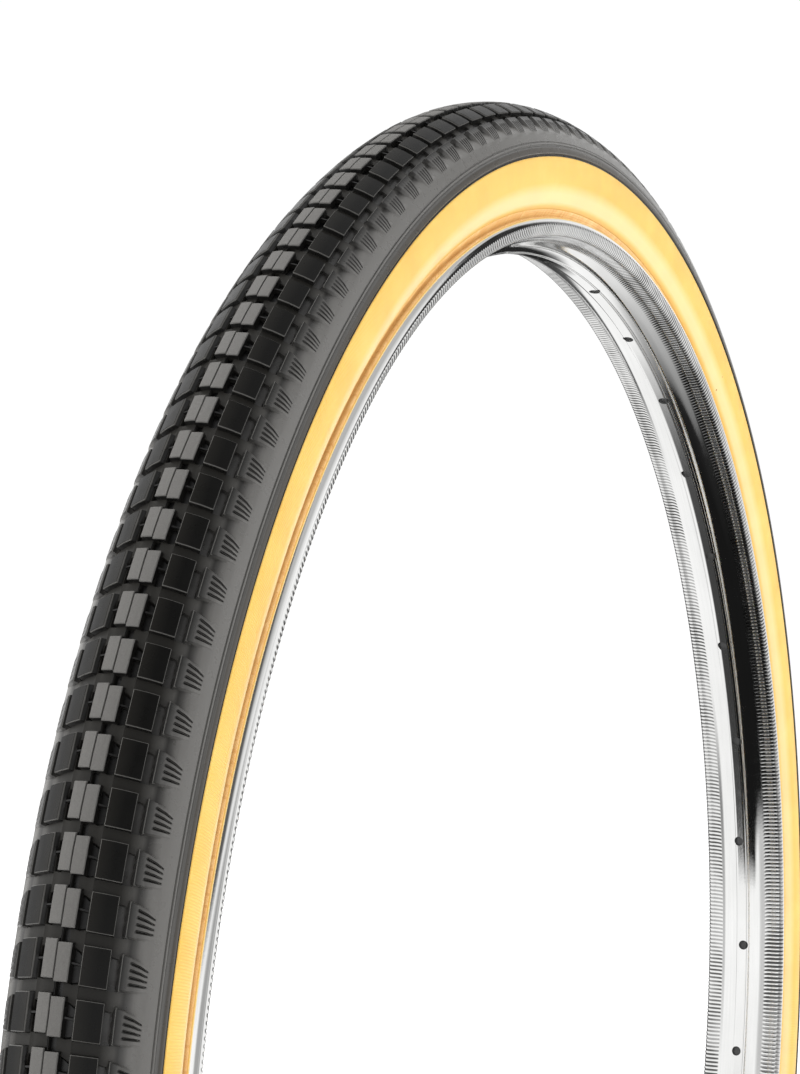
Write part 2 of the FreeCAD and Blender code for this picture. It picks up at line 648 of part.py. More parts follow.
for name in NODES:
    shape = by_label[name].Shape
    shape.exportStep("parts/%s.step" % name)
    bb = shape.BoundBox
    print("%-18s %9.1f mm3  x %.2f..%.2f  y %.2f..%.2f  z %.2f..%.2f"
          % (name, shape.Volume, bb.XMin, bb.XMax, bb.YMin, bb.YMax, bb.ZMin, bb.ZMax))
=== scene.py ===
import math

import bpy
import numpy as np
from mathutils import Matrix, Vector


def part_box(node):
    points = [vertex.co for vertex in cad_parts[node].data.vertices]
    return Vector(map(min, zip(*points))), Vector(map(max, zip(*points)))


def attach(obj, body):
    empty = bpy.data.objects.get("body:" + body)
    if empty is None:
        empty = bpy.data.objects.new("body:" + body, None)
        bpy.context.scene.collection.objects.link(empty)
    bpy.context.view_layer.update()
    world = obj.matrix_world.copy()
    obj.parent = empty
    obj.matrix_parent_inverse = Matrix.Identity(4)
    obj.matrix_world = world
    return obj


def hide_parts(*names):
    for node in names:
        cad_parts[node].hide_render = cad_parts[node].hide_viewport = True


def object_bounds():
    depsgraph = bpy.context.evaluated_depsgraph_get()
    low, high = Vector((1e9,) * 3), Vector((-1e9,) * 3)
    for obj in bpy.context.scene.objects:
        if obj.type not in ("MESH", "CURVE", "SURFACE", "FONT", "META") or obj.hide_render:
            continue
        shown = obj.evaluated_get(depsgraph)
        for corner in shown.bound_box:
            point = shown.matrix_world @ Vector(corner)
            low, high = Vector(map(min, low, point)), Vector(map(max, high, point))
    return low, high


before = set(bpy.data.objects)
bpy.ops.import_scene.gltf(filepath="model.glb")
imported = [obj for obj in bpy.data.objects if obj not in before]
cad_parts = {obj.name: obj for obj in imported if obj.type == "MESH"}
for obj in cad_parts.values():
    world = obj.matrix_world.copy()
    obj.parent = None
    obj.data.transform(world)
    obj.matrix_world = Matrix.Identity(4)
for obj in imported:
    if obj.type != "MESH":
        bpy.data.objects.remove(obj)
cad_low, cad_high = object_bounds()
scene = bpy.context.scene
MM = 0.001
rng = np.random.default_rng(47622)

# ---------------------------------------------------------------------------
# Section numbers, in millimetres, the same as the CAD model's
# ---------------------------------------------------------------------------
OUTER, SEAT, HALF = 359.0, 311.0, 22.2
STATIONS = [
    (0.0750, 0.5743, 0.0000, 1.0000, 0.0750, 0.6284),
    (0.1271, 0.5995, -0.4020, 0.9156, 0.1167, 0.6486),
    (0.1654, 0.6601, -0.6105, 0.7920, 0.1500, 0.7027),
    (0.1936, 0.7104, -0.5790, 0.8154, 0.1792, 0.7545),
    (0.2620, 0.8084, -0.4810, 0.8767, 0.2500, 0.8559),
    (0.3415, 0.8859, -0.3282, 0.9446, 0.3333, 0.9369),
    (0.4251, 0.9310, -0.1720, 0.9851, 0.4208, 0.9842),
    (0.5007, 0.9460, -0.0274, 0.9996, 0.5000, 1.0000),
    (0.5666, 0.9394, 0.1317, 0.9913, 0.5688, 0.9932),
    (0.6290, 0.9091, 0.3341, 0.9426, 0.6354, 0.9752),
    (0.6967, 0.8397, 0.5853, 0.8108, 0.7125, 0.9279),
    (0.7456, 0.7271, 0.8151, 0.5794, 0.7833, 0.8514),
    (0.7781, 0.5922, 0.8710, 0.4913, 0.8458, 0.7387),
    (0.8148, 0.4617, 0.8533, 0.5214, 0.9000, 0.5991),
    (0.8496, 0.3391, 0.8755, 0.4832, 0.9438, 0.4550),
    (0.8760, 0.2223, 0.9297, 0.3683, 0.9771, 0.3063),
    (0.8868, 0.1360, 0.9885, 0.1511, 0.9937, 0.1734),
    (0.8917, 0.0000, 1.0000, 0.0000, 1.0000, 0.0000),
]
EDGE_STATION, CHAFER_STATION = 8, 3


def casing_point(i, out=0.0):
    a, b, nr, ny = STATIONS[i][:4]
    return np.array([SEAT + 48.0 * a + out * nr, HALF * b + out * ny])


def surface_point(i):
    a, b = STATIONS[i][4:]
    return np.array([SEAT + 48.0 * a, HALF * b])


def smooth_curve(points, per=24):
    """Centripetal Catmull-Rom through the points, densely sampled."""
    p = np.asarray(points, float)
    p = np.vstack([2 * p[0] - p[1], p, 2 * p[-1] - p[-2]])
    out = []
    for k in range(1, len(p) - 2):
        p0, p1, p2, p3 = p[k - 1], p[k], p[k + 1], p[k + 2]
        t0 = 0.0
        t1 = t0 + np.linalg.norm(p1 - p0) ** 0.5
        t2 = t1 + np.linalg.norm(p2 - p1) ** 0.5
        t3 = t2 + np.linalg.norm(p3 - p2) ** 0.5
        for t in np.linspace(t1, t2, per, endpoint=False):
            a1 = (t1 - t) / (t1 - t0) * p0 + (t - t0) / (t1 - t0) * p1
            a2 = (t2 - t) / (t2 - t1) * p1 + (t - t1) / (t2 - t1) * p2
            a3 = (t3 - t) / (t3 - t2) * p2 + (t - t2) / (t3 - t2) * p3
            b1 = (t2 - t) / (t2 - t0) * a1 + (t - t0) / (t2 - t0) * a2
            b2 = (t3 - t) / (t3 - t1) * a2 + (t - t1) / (t3 - t1) * a3
            out.append((t2 - t) / (t2 - t1) * b1 + (t - t1) / (t2 - t1) * b2)
    out.append(p[-2])
    return np.array(out)


# outer face of the tyre from the crown down to the chafer, as arc length
# from the centre line -> (radius, |y|) and outward normal
_side = [surface_point(i) for i in range(17, -1, -1)]
_half = smooth_curve([(_side[1][0], -_side[1][1])] + _side)[24:]
_arc = np.concatenate([[0], np.cumsum(np.linalg.norm(np.diff(_half, axis=0), axis=1))])
_tan = np.gradient(_half, _arc, axis=0)
_tan[0] = (0.0, 1.0)
_tan /= np.linalg.norm(_tan, axis=1)[:, None]


def on_surface(t, lift=0.0):
    """(radius, |y|) at arc length t from the crown, lifted along the normal."""
    r = np.interp(t, _arc, _half[:, 0])
    y = np.interp(t, _arc, _half[:, 1])
    dr = np.interp(t, _arc, _tan[:, 0])
    dy = np.interp(t, _arc, _tan[:, 1])
    n = np.hypot(dr, dy)
    return r + lift * dy / n, y - lift * dr / n


def arc_at_radius(radius):
    """Arc length of the outer face's point at this radius, below the widest point."""
    k = np.argmin(np.abs(_half[:, 0] - radius))
    return _arc[k]


# ---------------------------------------------------------------------------
# Mesh helpers
# ---------------------------------------------------------------------------
def add_mesh(name, co, faces_idx, sizes, sharp=30.0):
    me = bpy.data.meshes.new(name)
    me.vertices.add(len(co))
    me.vertices.foreach_set("co", (np.asarray(co, np.float64) * MM).astype(np.float32).ravel())
    me.loops.add(len(faces_idx))
    me.loops.foreach_set("vertex_index", np.asarray(faces_idx, np.int32))
    starts = np.concatenate([[0], np.cumsum(sizes)[:-1]]).astype(np.int32)
    me.polygons.add(len(sizes))
    me.polygons.foreach_set("loop_start", starts)
    me.update(calc_edges=True)
    me.validate()
    me.polygons.foreach_set("use_smooth", np.ones(len(me.polygons), bool))
    if sharp:
        me.set_sharp_from_angle(angle=math.radians(sharp))
    ob = bpy.data.objects.new(name, me)
    scene.collection.objects.link(ob)
    return ob


def repeat_mesh(name, repeats, rows, sharp=30.0, closed_rows=True):
    """A closed band built from one pitch repeated round the wheel.

    rows: a list of (tags, fn); tags are the line keys this row has, sorted, and
    the first key is the pitch's first line; fn gives arrays (radius, y, angle)
    for pitch numbers k (N,) -> (N, len(tags)).
    """
    offs, total = [], 0
    for tags, _ in rows:
        offs.append(total)
        total += len(tags)
    co = np.zeros((repeats, total, 3))
    ks = np.arange(repeats)
    lift = np.zeros((repeats, total))
    for (tags, fn), o in zip(rows, offs):
        r, y, a, *more = fn(ks)
        if more:
            lift[:, o:o + len(tags)] = more[0]
        a = np.radians(a)
        co[:, o:o + len(tags), 0] = r * np.cos(a)
        co[:, o:o + len(tags), 1] = y
        co[:, o:o + len(tags), 2] = r * np.sin(a)
    faces, sizes = [], []
    n = len(rows)
    for i in range(n if closed_rows else n - 1):
        j = (i + 1) % n
        ta, tb = list(rows[i][0]), list(rows[j][0])
        common = [x for x in ta if x in tb]
        for c in range(len(common)):
            here = common[c]
            there = common[c + 1] if c + 1 < len(common) else None
            ring = []
            for tags, o, back in ((ta, offs[i], False), (tb, offs[j], True)):
                s = tags.index(here)
                e = tags.index(there) if there is not None else len(tags)
                run = [(o + q, 0) for q in range(s, e)]
                run.append((o + e, 0) if there is not None else (o, 1))
                ring += run[::-1] if back else run
            faces.append(ring)
            sizes.append(len(ring))
    local = np.array([v for f in faces for v, _ in f])
    nxt = np.array([w for f in faces for _, w in f])
    idx = (((ks[:, None] + nxt[None, :]) % repeats) * total + local[None, :]).ravel()
    sz = np.tile(np.array(sizes), repeats)
    ob = add_mesh(name, co.reshape(-1, 3), idx, sz, sharp)
    if lift.any():
        att = ob.data.attributes.new("lift", "FLOAT", "POINT")
        att.data.foreach_set("value", lift.astype(np.float32).ravel())
    return ob


def face_outward(ob):
    """Flip the faces when the closed mesh's signed volume is negative."""
    me = ob.data
    co = np.zeros(len(me.vertices) * 3)
    me.vertices.foreach_get("co", co)
    co = co.reshape(-1, 3)
    me.calc_loop_triangles()
    tri = np.zeros(len(me.loop_triangles) * 3, np.int32)
    me.loop_triangles.foreach_get("vertices", tri)
    t = co[tri.reshape(-1, 3)]
    vol = np.einsum("ij,ij->i", t[:, 0], np.cross(t[:, 1], t[:, 2])).sum() / 6
    if vol < 0:
        me.flip_normals()
    return vol


# ---------------------------------------------------------------------------
# Tread
# ---------------------------------------------------------------------------
PITCHES = 172
PITCH = 360.0 / PITCHES
PHASE = 123.15                 # wheel angle at which a near half block starts
WEB, DEEP = -1.75, -2.75        # floor of the cross channels, floor of the pockets

F_FLUTE = [0.10, 0.16, 0.22, 0.31, 0.37, 0.43, 0.52, 0.58, 0.64, 0.73, 0.79, 0.85]
F_ALL = [0.0, 0.025] + F_FLUTE + [0.975, 1.0]
G_ALL = [0.07, 0.30, 0.62, 0.93]
LINES = [("f", f) for f in F_ALL] + [("g", g) for g in G_ALL]
KEYS = list(range(len(LINES)))
I_B0, I_B1, I_E1, I_E0 = 0, 1, 14, 15
I_BAR = [6, 7, 8]                         # flute lines used by the tie bar
CENTRE_KEYS = [0, 1, 5, 6, 8, 9, 14, 15, 16, 17, 18, 19]
SKIRT_KEYS = [0, 6, 14]


def block_ends(t, near):
    """(start, end) of a block, in pitches, at arc length t from the centre."""
    if near:
        start = np.interp(t, [0, 3.85, 6.85, 13.75, 16.6, 18.9, 21.5, 24.2], [0.0, 0.0, 0.02, 0.045, 0.10, 0.15, 0.22, 0.33])
        end = np.interp(t, [0, 3.85, 6.85, 13.75, 16.6, 24.2], [0.727, 0.727, 0.762, 0.79, 0.79, 0.77])
    else:
        start = np.interp(t, [0, 3.85, 7.3, 14.2, 16.6, 18.9, 21.5, 24.2], [-0.055, -0.055, -0.05, -0.03, 0.04, 0.09, 0.16, 0.27])
        end = np.interp(t, [0, 3.85, 7.3, 14.2, 16.6, 24.2], [0.672, 0.672, 0.70, 0.72, 0.73, 0.71])
    return start, end


def fraction(kind, x, ends):
    s, e = ends
    if kind == "f":
        return s + x * (e - s)
    return e + x * (1.0 + s - e)


def tread_rows():
    rows = []

    def row(t, near, heights, keys, pull=None, slide=None):
        """heights: dict key -> height; pull: dict key -> own fraction spec."""
        ends = block_ends(t, near)
        us = []
        for k in keys:
            kind, x = LINES[k]
            if pull and k in pull:
                kind, x = pull[k]
            us.append(fraction(kind, x, ends))
        us = np.array(us)
        hs = np.array([heights(k) if callable(heights) else heights for k in keys])
        sign = -1.0 if near else 1.0

        def fn(ks, t=t, us=us, hs=hs, sign=sign):
            ang = PHASE + PITCH * (ks[:, None] + us[None, :])
            wob = 0.0
            if slide:
                wob = slide * np.sin(np.radians(ang) * 83.0) + slide * 0.8 * np.sin(np.radians(ang) * 197.0 + 1.3)
            r, y = on_surface(np.full(ang.shape, t), np.tile(hs, (len(ks), 1)))
            # flute floors get lift -9, which the tread material paints as a dark line of painted shade
            paint = [-9.0 if t > 17.0 and len(keys) > 16 and key in (3, 6, 9, 12) and h < -0.12 else h for key, h in zip(keys, hs)]
            return r, sign * y + wob, ang, np.tile(paint, (len(ks), 1))
        rows.append((list(keys), fn))

    def block(top, bevel=0.22, foot=WEB):
        """Heights for a block row: bevelled edges, then the channel floor."""
        def h(k):
            if k in (I_B0, I_E0):
                return top - bevel
            if k < 16:
                return top
            return foot
        return h

    def side(near):
        out = []

        def add(t, heights, keys=CENTRE_KEYS, pull=None, slide=None):
            out.append((t, heights, keys, pull, slide))
        B = 0.22
        gap_c = DEEP if near else WEB           # near half: a pocket beside the centre line
        # centre half block
        c0 = 0.15 if near else 0.19
        add(c0, block(-0.14, 0.14, WEB + 0.25), slide=0.05)
        add(c0 + 0.12, block(0.0, B, gap_c), slide=0.04)
        add(2.05, block(0.0, B, gap_c))
        add(2.30, block(0.0, B, WEB))
        add(3.63, block(0.0, B, WEB))
        add(3.85, block(-B, B * 0.6, WEB))

        # groove between the centre and mid blocks: two pockets and a tie bar
        def pocket(k):
            if k in (0, 1, 5):
                return DEEP
            if k in (6, 8):
                return WEB + 0.75
            if k in (9, 14, 15):
                return DEEP
            return WEB
        bar = {1: ("f", 0.16), 5: ("f", 0.455), 6: ("f", 0.475), 8: ("f", 0.525), 9: ("f", 0.545), 0: ("f", 0.10), 14: ("f", 0.99), 15: ("f", 1.04)}
        wide = {0: ("f", 0.18), 1: ("f", 0.26), 5: ("f", 0.455), 6: ("f", 0.475), 8: ("f", 0.525), 9: ("f", 0.545), 14: ("f", 0.93), 15: ("f", 0.99)}
        lip = lambda k: pocket(k) if k in (1, 5, 9, 14, 6, 8) else WEB
        add(4.08, lip, pull=bar)
        add(4.35, lip, pull=bar)
        add(6.20, lip, pull=wide)
        # the web runs up along the mid block as a narrow step
        add(6.42, lambda k: WEB + 0.1 if k not in (6, 8) else WEB + 0.75, pull=wide)
        add(6.66, lambda k: WEB + 0.1 if k not in (6, 8) else WEB + 0.75)
        # mid block
        m0, m1 = (6.85, 13.75) if near else (7.25, 14.15)
        add(m0, block(-B, B * 0.6, WEB))
        add(m0 + 0.22, block(0.0, B, WEB))
        add((m0 + m1) / 2, block(0.02, B, WEB))
        add(m1 - 0.22, block(0.0, B, WEB))
        add(m1, block(-B, B * 0.6, WEB))

        # stepped groove: a bridge, then a pocket that opens onto the next channel
        def steps(k):
            if k in (0, 1):
                return WEB
            if k in (5, 6, 8, 9):
                return DEEP
            if k in (14, 15):
                return DEEP * 0.6 + WEB * 0.4
            return WEB
        ease = {0: ("f", 0.02), 1: ("f", 0.155), 5: ("f", 0.19), 6: ("f", 0.4), 8: ("f", 0.6), 9: ("f", 0.8), 14: ("f", 0.97), 15: ("f", 1.06)}
        round_top = {0: ("f", 0.02), 1: ("f", 0.21), 5: ("f", 0.26), 6: ("f", 0.4), 8: ("f", 0.6), 9: ("f", 0.8), 14: ("f", 0.97), 15: ("f", 1.06)}
        add(m1 + 0.20, steps, pull=round_top)
        add(m1 + 0.55, steps, pull=ease)
        add(m1 + 1.30, lambda k: steps(k) + (0.18 if k in (5, 6, 8, 9) else 0.0), pull=ease)
        add(16.10, steps, pull=ease)
        add(16.40, steps, KEYS, pull={0: ("f", 0.0)} | {k: ("f", 0.02 + 0.012 * k) if k < 1 else ("f", x) for k, (_, x) in enumerate(LINES[:16])})

        # shoulder block: the channel floor rises to the skirt, flutes cut the block
        def floor_at(t):
            q = max(0.0, min(1.0, (24.8 - t) / 8.2))
            return WEB * q * q * (3 - 2 * q)

        def shoulder(t, flute, bevel=0.2):
            fl = floor_at(t)

            def h(k):
                if k in (I_B0, I_E0):
                    return max(fl, -bevel)
                if k in (3, 6, 9, 12):
                    return -flute
                if k < 16:
                    return 0.0
                return fl
            return h
        add(16.60, lambda k: -B if k < 16 else WEB, KEYS)
        add(16.82, shoulder(16.82, 0.0), KEYS)
        add(18.55, shoulder(18.55, 0.0), KEYS)
        add(18.95, shoulder(18.95, 0.30), KEYS)
        add(19.9, shoulder(19.9, 0.75), KEYS)
        add(21.6, shoulder(21.6, 0.85), KEYS)
        add(22.9, shoulder(22.9, 0.55), KEYS)
        add(23.9, shoulder(23.9, 0.10), KEYS)
        add(24.5, lambda k: 0.0, KEYS)
        # skirt, the double mould line, the rib and the edge groove
        for t, h in ((25.4, 0.0), (27.0, 0.0), (27.85, 0.0), (28.05, -0.30), (28.35, -0.32), (28.5, 0.10), (28.75, 0.16),
                     (29.0, 0.08), (29.15, -0.28), (29.45, -0.30), (29.65, 0.0), (30.0, 0.30), (30.5, 0.42), (31.3, 0.44),
                     (32.0, 0.36), (32.35, 0.12), (32.6, -0.35), (32.95, -0.40), (33.15, -0.22), (33.3, -0.20)):
            add(t, (lambda k, h=h: h), SKIRT_KEYS)
        return out

    near, far = side(True), side(False)
    for t, h, keys, pull, slide in reversed(near):
        row(t, True, h, keys, pull, slide)
    # mould line along the centre: a narrow slot through the blocks, a thread
    # of rubber across the channels
    row(0.08, True, lambda k: -0.62 if k < 16 else WEB + 0.30, CENTRE_KEYS, slide=0.06)
    row(0.03, True, lambda k: -0.60 if k < 16 else WEB + 0.34, CENTRE_KEYS, slide=0.06)
    row(0.02, False, lambda k: -0.30 if k < 16 else WEB + 0.60, CENTRE_KEYS, slide=0.06)
    row(0.08, False, lambda k: -0.32 if k < 16 else WEB + 0.58, CENTRE_KEYS, slide=0.06)
    row(0.13, False, lambda k: -0.55 if k < 16 else WEB + 0.30, CENTRE_KEYS, slide=0.05)
    for t, h, keys, pull, slide in far:
        row(t, False, h, keys, pull, slide)

    # underside, against the casing
    def under(i, sign):
        p = casing_point(i, 0.8 if i >= 13 else 0.0)

        def fn(ks, p=p, sign=sign):
            ang = PHASE + PITCH * (ks[:, None] + np.array([0.0, 0.3, 0.7])[None, :])
            return np.full(ang.shape, p[0]), np.full(ang.shape, sign * p[1]), ang, np.full(ang.shape, -5.0)
        rows.append((SKIRT_KEYS, fn))
    for i in range(EDGE_STATION, 18):
        under(i, 1.0)
    for i in range(16, EDGE_STATION - 1, -1):
        under(i, -1.0)
    return rows


tread = repeat_mesh("tread_blocks", PITCHES, tread_rows(), sharp=28.0)
print("tread volume cm3", face_outward(tread) * 1e6, "faces", len(tread.data.polygons))


# ---------------------------------------------------------------------------
# Plain rings
# ---------------------------------------------------------------------------
def ring_piece(name, outline, count, wave=None, sharp=35.0):
    """Closed ring: outline is a closed list of (radius, y); wave(i, angle) adds
    (radius, y) offsets to point i."""
    pts = np.asarray(outline, float)
    rows = []
    for i, p in enumerate(pts):
        def fn(ks, p=p, i=i):
            ang = (360.0 / count) * ks[:, None].astype(float)
            dr, dy = wave(i, np.radians(ang)) if wave else (0.0, 0.0)
            return p[0] + dr + 0 * ang, p[1] + dy + 0 * ang, ang
        rows.append(([0], fn))
    ob = repeat_mesh(name, count, rows, sharp)
    face_outward(ob)
    return ob


S_EDGE = 33.3
S_CHAFER = arc_at_radius(319.6)
S_RIM = arc_at_radius(314.7)


def sidewall(name, sign):
    outer = []
    for t, h in ((S_EDGE + 0.02, -0.20), (S_EDGE + 0.22, -0.04), (S_EDGE + 0.5, 0.0)):
        outer.append(on_surface(t, h))
    for t in np.linspace(S_EDGE + 1.2, S_CHAFER - 1.1, 22):
        outer.append(on_surface(t, 0.0))
    outer.append(on_surface(S_CHAFER - 0.5, 0.02))
    outer.append(on_surface(S_CHAFER - 0.2, -0.03))
    outer.append(on_surface(S_CHAFER, -0.16))
    inner = [casing_point(i) for i in range(CHAFER_STATION, EDGE_STATION + 1)]
    pts = [(p[0], sign * p[1]) for p in list(outer) + list(inner)]
    n = len(outer)

    def wave(i, a):
        if i < 3 or i >= n:
            return 0.0, 0.0
        f = i / n
        w = 0.05 * np.sin(23 * a + 2.0 * f) + 0.03 * np.sin(61 * a + 1.0)
        low = max(0.0, (f - 0.72) / 0.28)
        blob = low * (0.05 * np.sin(171 * a) + 0.05 * np.sin(263 * a + 2.0) + 0.04 * np.sin(397 * a + 0.5))
        return 0.0 * a, sign * (w * 0.6 + blob)
    return ring_piece(name, pts, 900, wave)


def chafer(name, sign):
    outer = []
    for k, t in enumerate(np.linspace(S_CHAFER + 0.02, S_RIM, 12)):
        outer.append(on_surface(t, -0.12 if k == 0 else -0.02))
    outer += [(313.2, 13.72), (311.55, 13.45), (311.12, 12.9), (311.05, 12.0), (311.12, 11.0), (311.7, 10.3), (313.0, 10.0)]
    inner = [(313.3, 10.5), (312.1, 11.4), (311.85, 12.4), (312.6, 13.1)]
    inner += [casing_point(i, 0.02) for i in range(0, CHAFER_STATION + 1)]
    pts = [(p[0], sign * p[1]) for p in list(outer) + list(inner)]

    def wave(i, a):
        if i < 1 or i > 9:
            return 0.0, 0.0
        return 0.0 * a, sign * (0.07 * np.sin(171 * a + 0.4 * i) + 0.05 * np.sin(311 * a + 2.0) + 0.03 * np.sin(53 * a))
    return ring_piece(name, pts, 900, wave)


left_wall = sidewall("gum_sidewall_left", 1.0)
right_wall = sidewall("gum_sidewall_right", -1.0)
left_chafer = chafer("rim_strip_left", 1.0)
right_chafer = chafer("rim_strip_right", -1.0)

# ---------------------------------------------------------------------------
# Rim
# ---------------------------------------------------------------------------
BED, SHEET, RW, REDGE = 304.2, 1.2, 19.3, 317.0
hub_half = [
    (BED, 0.0), (BED, RW * 0.100), (BED + 0.12, RW * 0.120), (BED + 0.46, RW * 0.142), (BED + 0.62, RW * 0.200),
    (BED + 1.15, 6.4), (BED + 2.05, 8.4), (BED + 3.40, 10.2), (BED + 4.60, 11.8), (BED + 5.25, 13.4),
    (SEAT - SHEET - 0.12, 15.2), (SEAT - SHEET + 0.02, 16.6), (SEAT - SHEET + 0.45, 17.7), (SEAT + 0.3, 18.55),
    (SEAT + 1.9, 19.1), (REDGE - 2.3, RW), (REDGE - 1.0, RW * 0.972), (REDGE - 0.25, RW * 0.922),
    (REDGE, RW * 0.865), (REDGE - 0.3, RW * 0.806), (REDGE - 1.1, RW * 0.755), (REDGE - 2.6, RW * 0.728),
    (SEAT + 0.8, RW * 0.728),
]
well_half = [
    (SEAT + 0.8, RW * 0.728 + SHEET * 0.917), (REDGE - 2.7, RW * 0.728 + SHEET * 0.917), (REDGE - 1.6, RW * 0.814),
    (REDGE - 1.15, RW * 0.865), (REDGE - 1.5, RW * 0.912), (REDGE - 2.5, RW - SHEET), (SEAT + 2.3, RW * 0.977 - SHEET),
    (SEAT + 1.2, RW * 0.884), (SEAT + 0.2, RW * 0.827), (SEAT, RW * 0.790),
    (SEAT, RW * 0.617), (SEAT - 0.7, RW * 0.560), (SEAT - 2.9, RW * 0.466), (BED + 2.35, RW * 0.368),
    (BED + 2.0, RW * 0.300), (BED + 1.7, RW * 0.125), (BED + SHEET, RW * 0.098), (BED + SHEET, 0.0),
]
RIBS = 1008


def rim_mesh():
    smooth = smooth_curve(hub_half[:-1], 3)
    smooth = np.vstack([smooth, hub_half[-1]])
    smooth[:, 0] = np.maximum(smooth[:, 0], BED)
    half = [tuple(p) for p in smooth] + list(well_half)
    rows = []

    # length along the section and the direction each point faces
    pts = np.array(half)
    run = np.concatenate([[0.0], np.cumsum(np.linalg.norm(np.diff(pts, axis=0), axis=1))])
    tangent = np.gradient(pts, axis=0)
    facing = np.stack([-tangent[:, 1], tangent[:, 0]], axis=1)
    facing /= np.linalg.norm(facing, axis=1)[:, None]
    n_hub = len(smooth)
    k0 = int(np.argmax(pts[:n_hub, 1] > 10.9))
    k1 = int(np.argmax(pts[:n_hub, 0] > 313.9))

    def knurl(i):
        """Rib height along the section: from the slope round to the flank."""
        if i < k0 or i > k1:
            return 0.0
        return 0.15 * min(1.0, (run[i] - run[k0] + 0.05) / 0.7, (run[k1] - run[i] + 0.05) / 0.9)

    closed = [(i, 1.0) for i in range(len(half))] + [(i, -1.0) for i in range(len(half) - 2, 0, -1)]
    for i, s in closed:
        p, f = pts[i], facing[i]
        amp = knurl(i)
        keys = [0, 1, 2, 3] if amp > 0 else [0]

        def fn(ks, p=p, f=f, s=s, amp=amp, m=len(keys)):
            ang = (360.0 / RIBS) * (ks[:, None] + np.arange(m)[None, :] / 4.0)
            lift = amp * np.array([1.0, 0.35, -0.6, 0.35])[:m] if amp else np.zeros(m)
            r = p[0] + f[0] * lift[None, :] + 0 * ang
            y = s * (p[1] + f[1] * lift[None, :]) + 0 * ang
            return r, y, ang
        rows.append((keys, fn))
    ob = repeat_mesh("steel_rim", RIBS, rows, sharp=None)
    face_outward(ob)
    return ob


rim = rim_mesh()


def drill(target, wheel_angle, offset_y, radius, tools):
    a = math.radians(wheel_angle)
    me = bpy.data.meshes.new("drill")
    n = 40
    co, faces = [], []
    axis = Vector((math.cos(a), 0, math.sin(a)))
    side_a = Vector((0, 1, 0))
    side_b = axis.cross(side_a)
    for d in (295.0, 312.0):
        for k in range(n):
            w = 2 * math.pi * k / n
            v = axis * d + Vector((0, offset_y, 0)) + (side_a * math.cos(w) + side_b * math.sin(w)) * radius
            co.append(v * MM)
    faces.append(list(range(n))[::-1])
    faces.append(list(range(n, 2 * n)))
    for k in range(n):
        faces.append([k, (k + 1) % n, n + (k + 1) % n, n + k])
    base = len(tools[0])
    tools[0].extend(co)
    tools[1].extend([[base + v for v in f] for f in faces])
    bpy.data.meshes.remove(me)


tools = ([], [])
for i in range(36):
    drill(rim, 10.0 * (i + 0.5), 0.9 if i % 2 == 0 else -0.9, 2.3, tools)
drill(rim, 270.0, 0.0, 4.25, tools)
tool_mesh = bpy.data.meshes.new("drills")
tool_mesh.from_pydata([tuple(v) for v in tools[0]], [], tools[1])
tool_ob = bpy.data.objects.new("drills", tool_mesh)
scene.collection.objects.link(tool_ob)
face_outward(tool_ob)
cut = rim.modifiers.new("holes", "BOOLEAN")
cut.operation = "DIFFERENCE"
cut.solver = "EXACT"
cut.object = tool_ob
bpy.context.view_layer.objects.active = rim
rim.select_set(True)
bpy.context.view_layer.update()
dg = bpy.context.evaluated_depsgraph_get()
drilled = bpy.data.meshes.new_from_object(rim.evaluated_get(dg))
rim.modifiers.clear()
before = len(rim.data.polygons)
old = rim.data
rim.data = drilled
bpy.data.meshes.remove(old)
bpy.data.objects.remove(tool_ob)
rim.data.polygons.foreach_set("use_smooth", np.ones(len(rim.data.polygons), bool))
rim.data.set_sharp_from_angle(angle=math.radians(38))
print("rim faces", before, "->", len(rim.data.polygons))


# ---------------------------------------------------------------------------
# Valve stem with a cut thread for the nut that runs on it
# ---------------------------------------------------------------------------
def lathe_thread(name, profile, pitch=0.79375, depth=0.32, around=48, sharp=None, bore=None):
    """profile: list of (z, radius, threaded) from the foot up, in mm."""
    rows, z_all = [], []
    for (z0, r0, t0), (z1, r1, t1) in zip(profile[:-1], profile[1:]):
        steps = max(1, int(abs(z1 - z0) / (pitch / 6))) if (t0 and t1) else 1
        for k in range(steps):
            f = k / steps
            z_all.append((z0 + f * (z1 - z0), r0 + f * (r1 - r0), t0 and t1))
    z_all.append((profile[-1][0], profile[-1][1], False))
    th = np.arange(around) * 2 * np.pi / around
    co = []
    for z, r, t in z_all:
        if t:
            ph = (z / pitch - th / (2 * np.pi)) % 1.0
            tri = np.clip(1.25 - 2.5 * np.abs(ph - 0.5) * 1.6, 0, 1)
            rr = r - depth * (1 - tri)
        else:
            rr = np.full(around, r)
        co.append(np.stack([rr * np.cos(th), rr * np.sin(th), np.full(around, z)], 1))
    co = np.concatenate(co)
    nrow = len(z_all)
    quads = []
    for i in range(nrow - 1):
        for j in range(around):
            j2 = (j + 1) % around
            quads.append([i * around + j, i * around + j2, (i + 1) * around + j2, (i + 1) * around + j])
    sizes = [4] * len(quads)
    idx = [v for q in quads for v in q]
    if bore is None:
        idx += list(range(around))[::-1]
        sizes.append(around)
        idx += list(range((nrow - 1) * around, nrow * around))
        sizes.append(around)
    else:
        extra = []
        for z in (z_all[-1][0], z_all[0][0]):
            extra.append(np.stack([bore * np.cos(th), bore * np.sin(th), np.full(around, z)], 1))
        co = np.concatenate([co] + extra)
        top, a1, a0 = (nrow - 1) * around, nrow * around, (nrow + 1) * around
        for j in range(around):
            j2 = (j + 1) % around
            idx += [top + j, top + j2, a1 + j2, a1 + j]
            idx += [a1 + j, a1 + j2, a0 + j2, a0 + j]
            idx += [a0 + j, a0 + j2, j2, j]
            sizes += [4, 4, 4]
    ob = add_mesh(name, co, idx, sizes, sharp)
    face_outward(ob)
    return ob


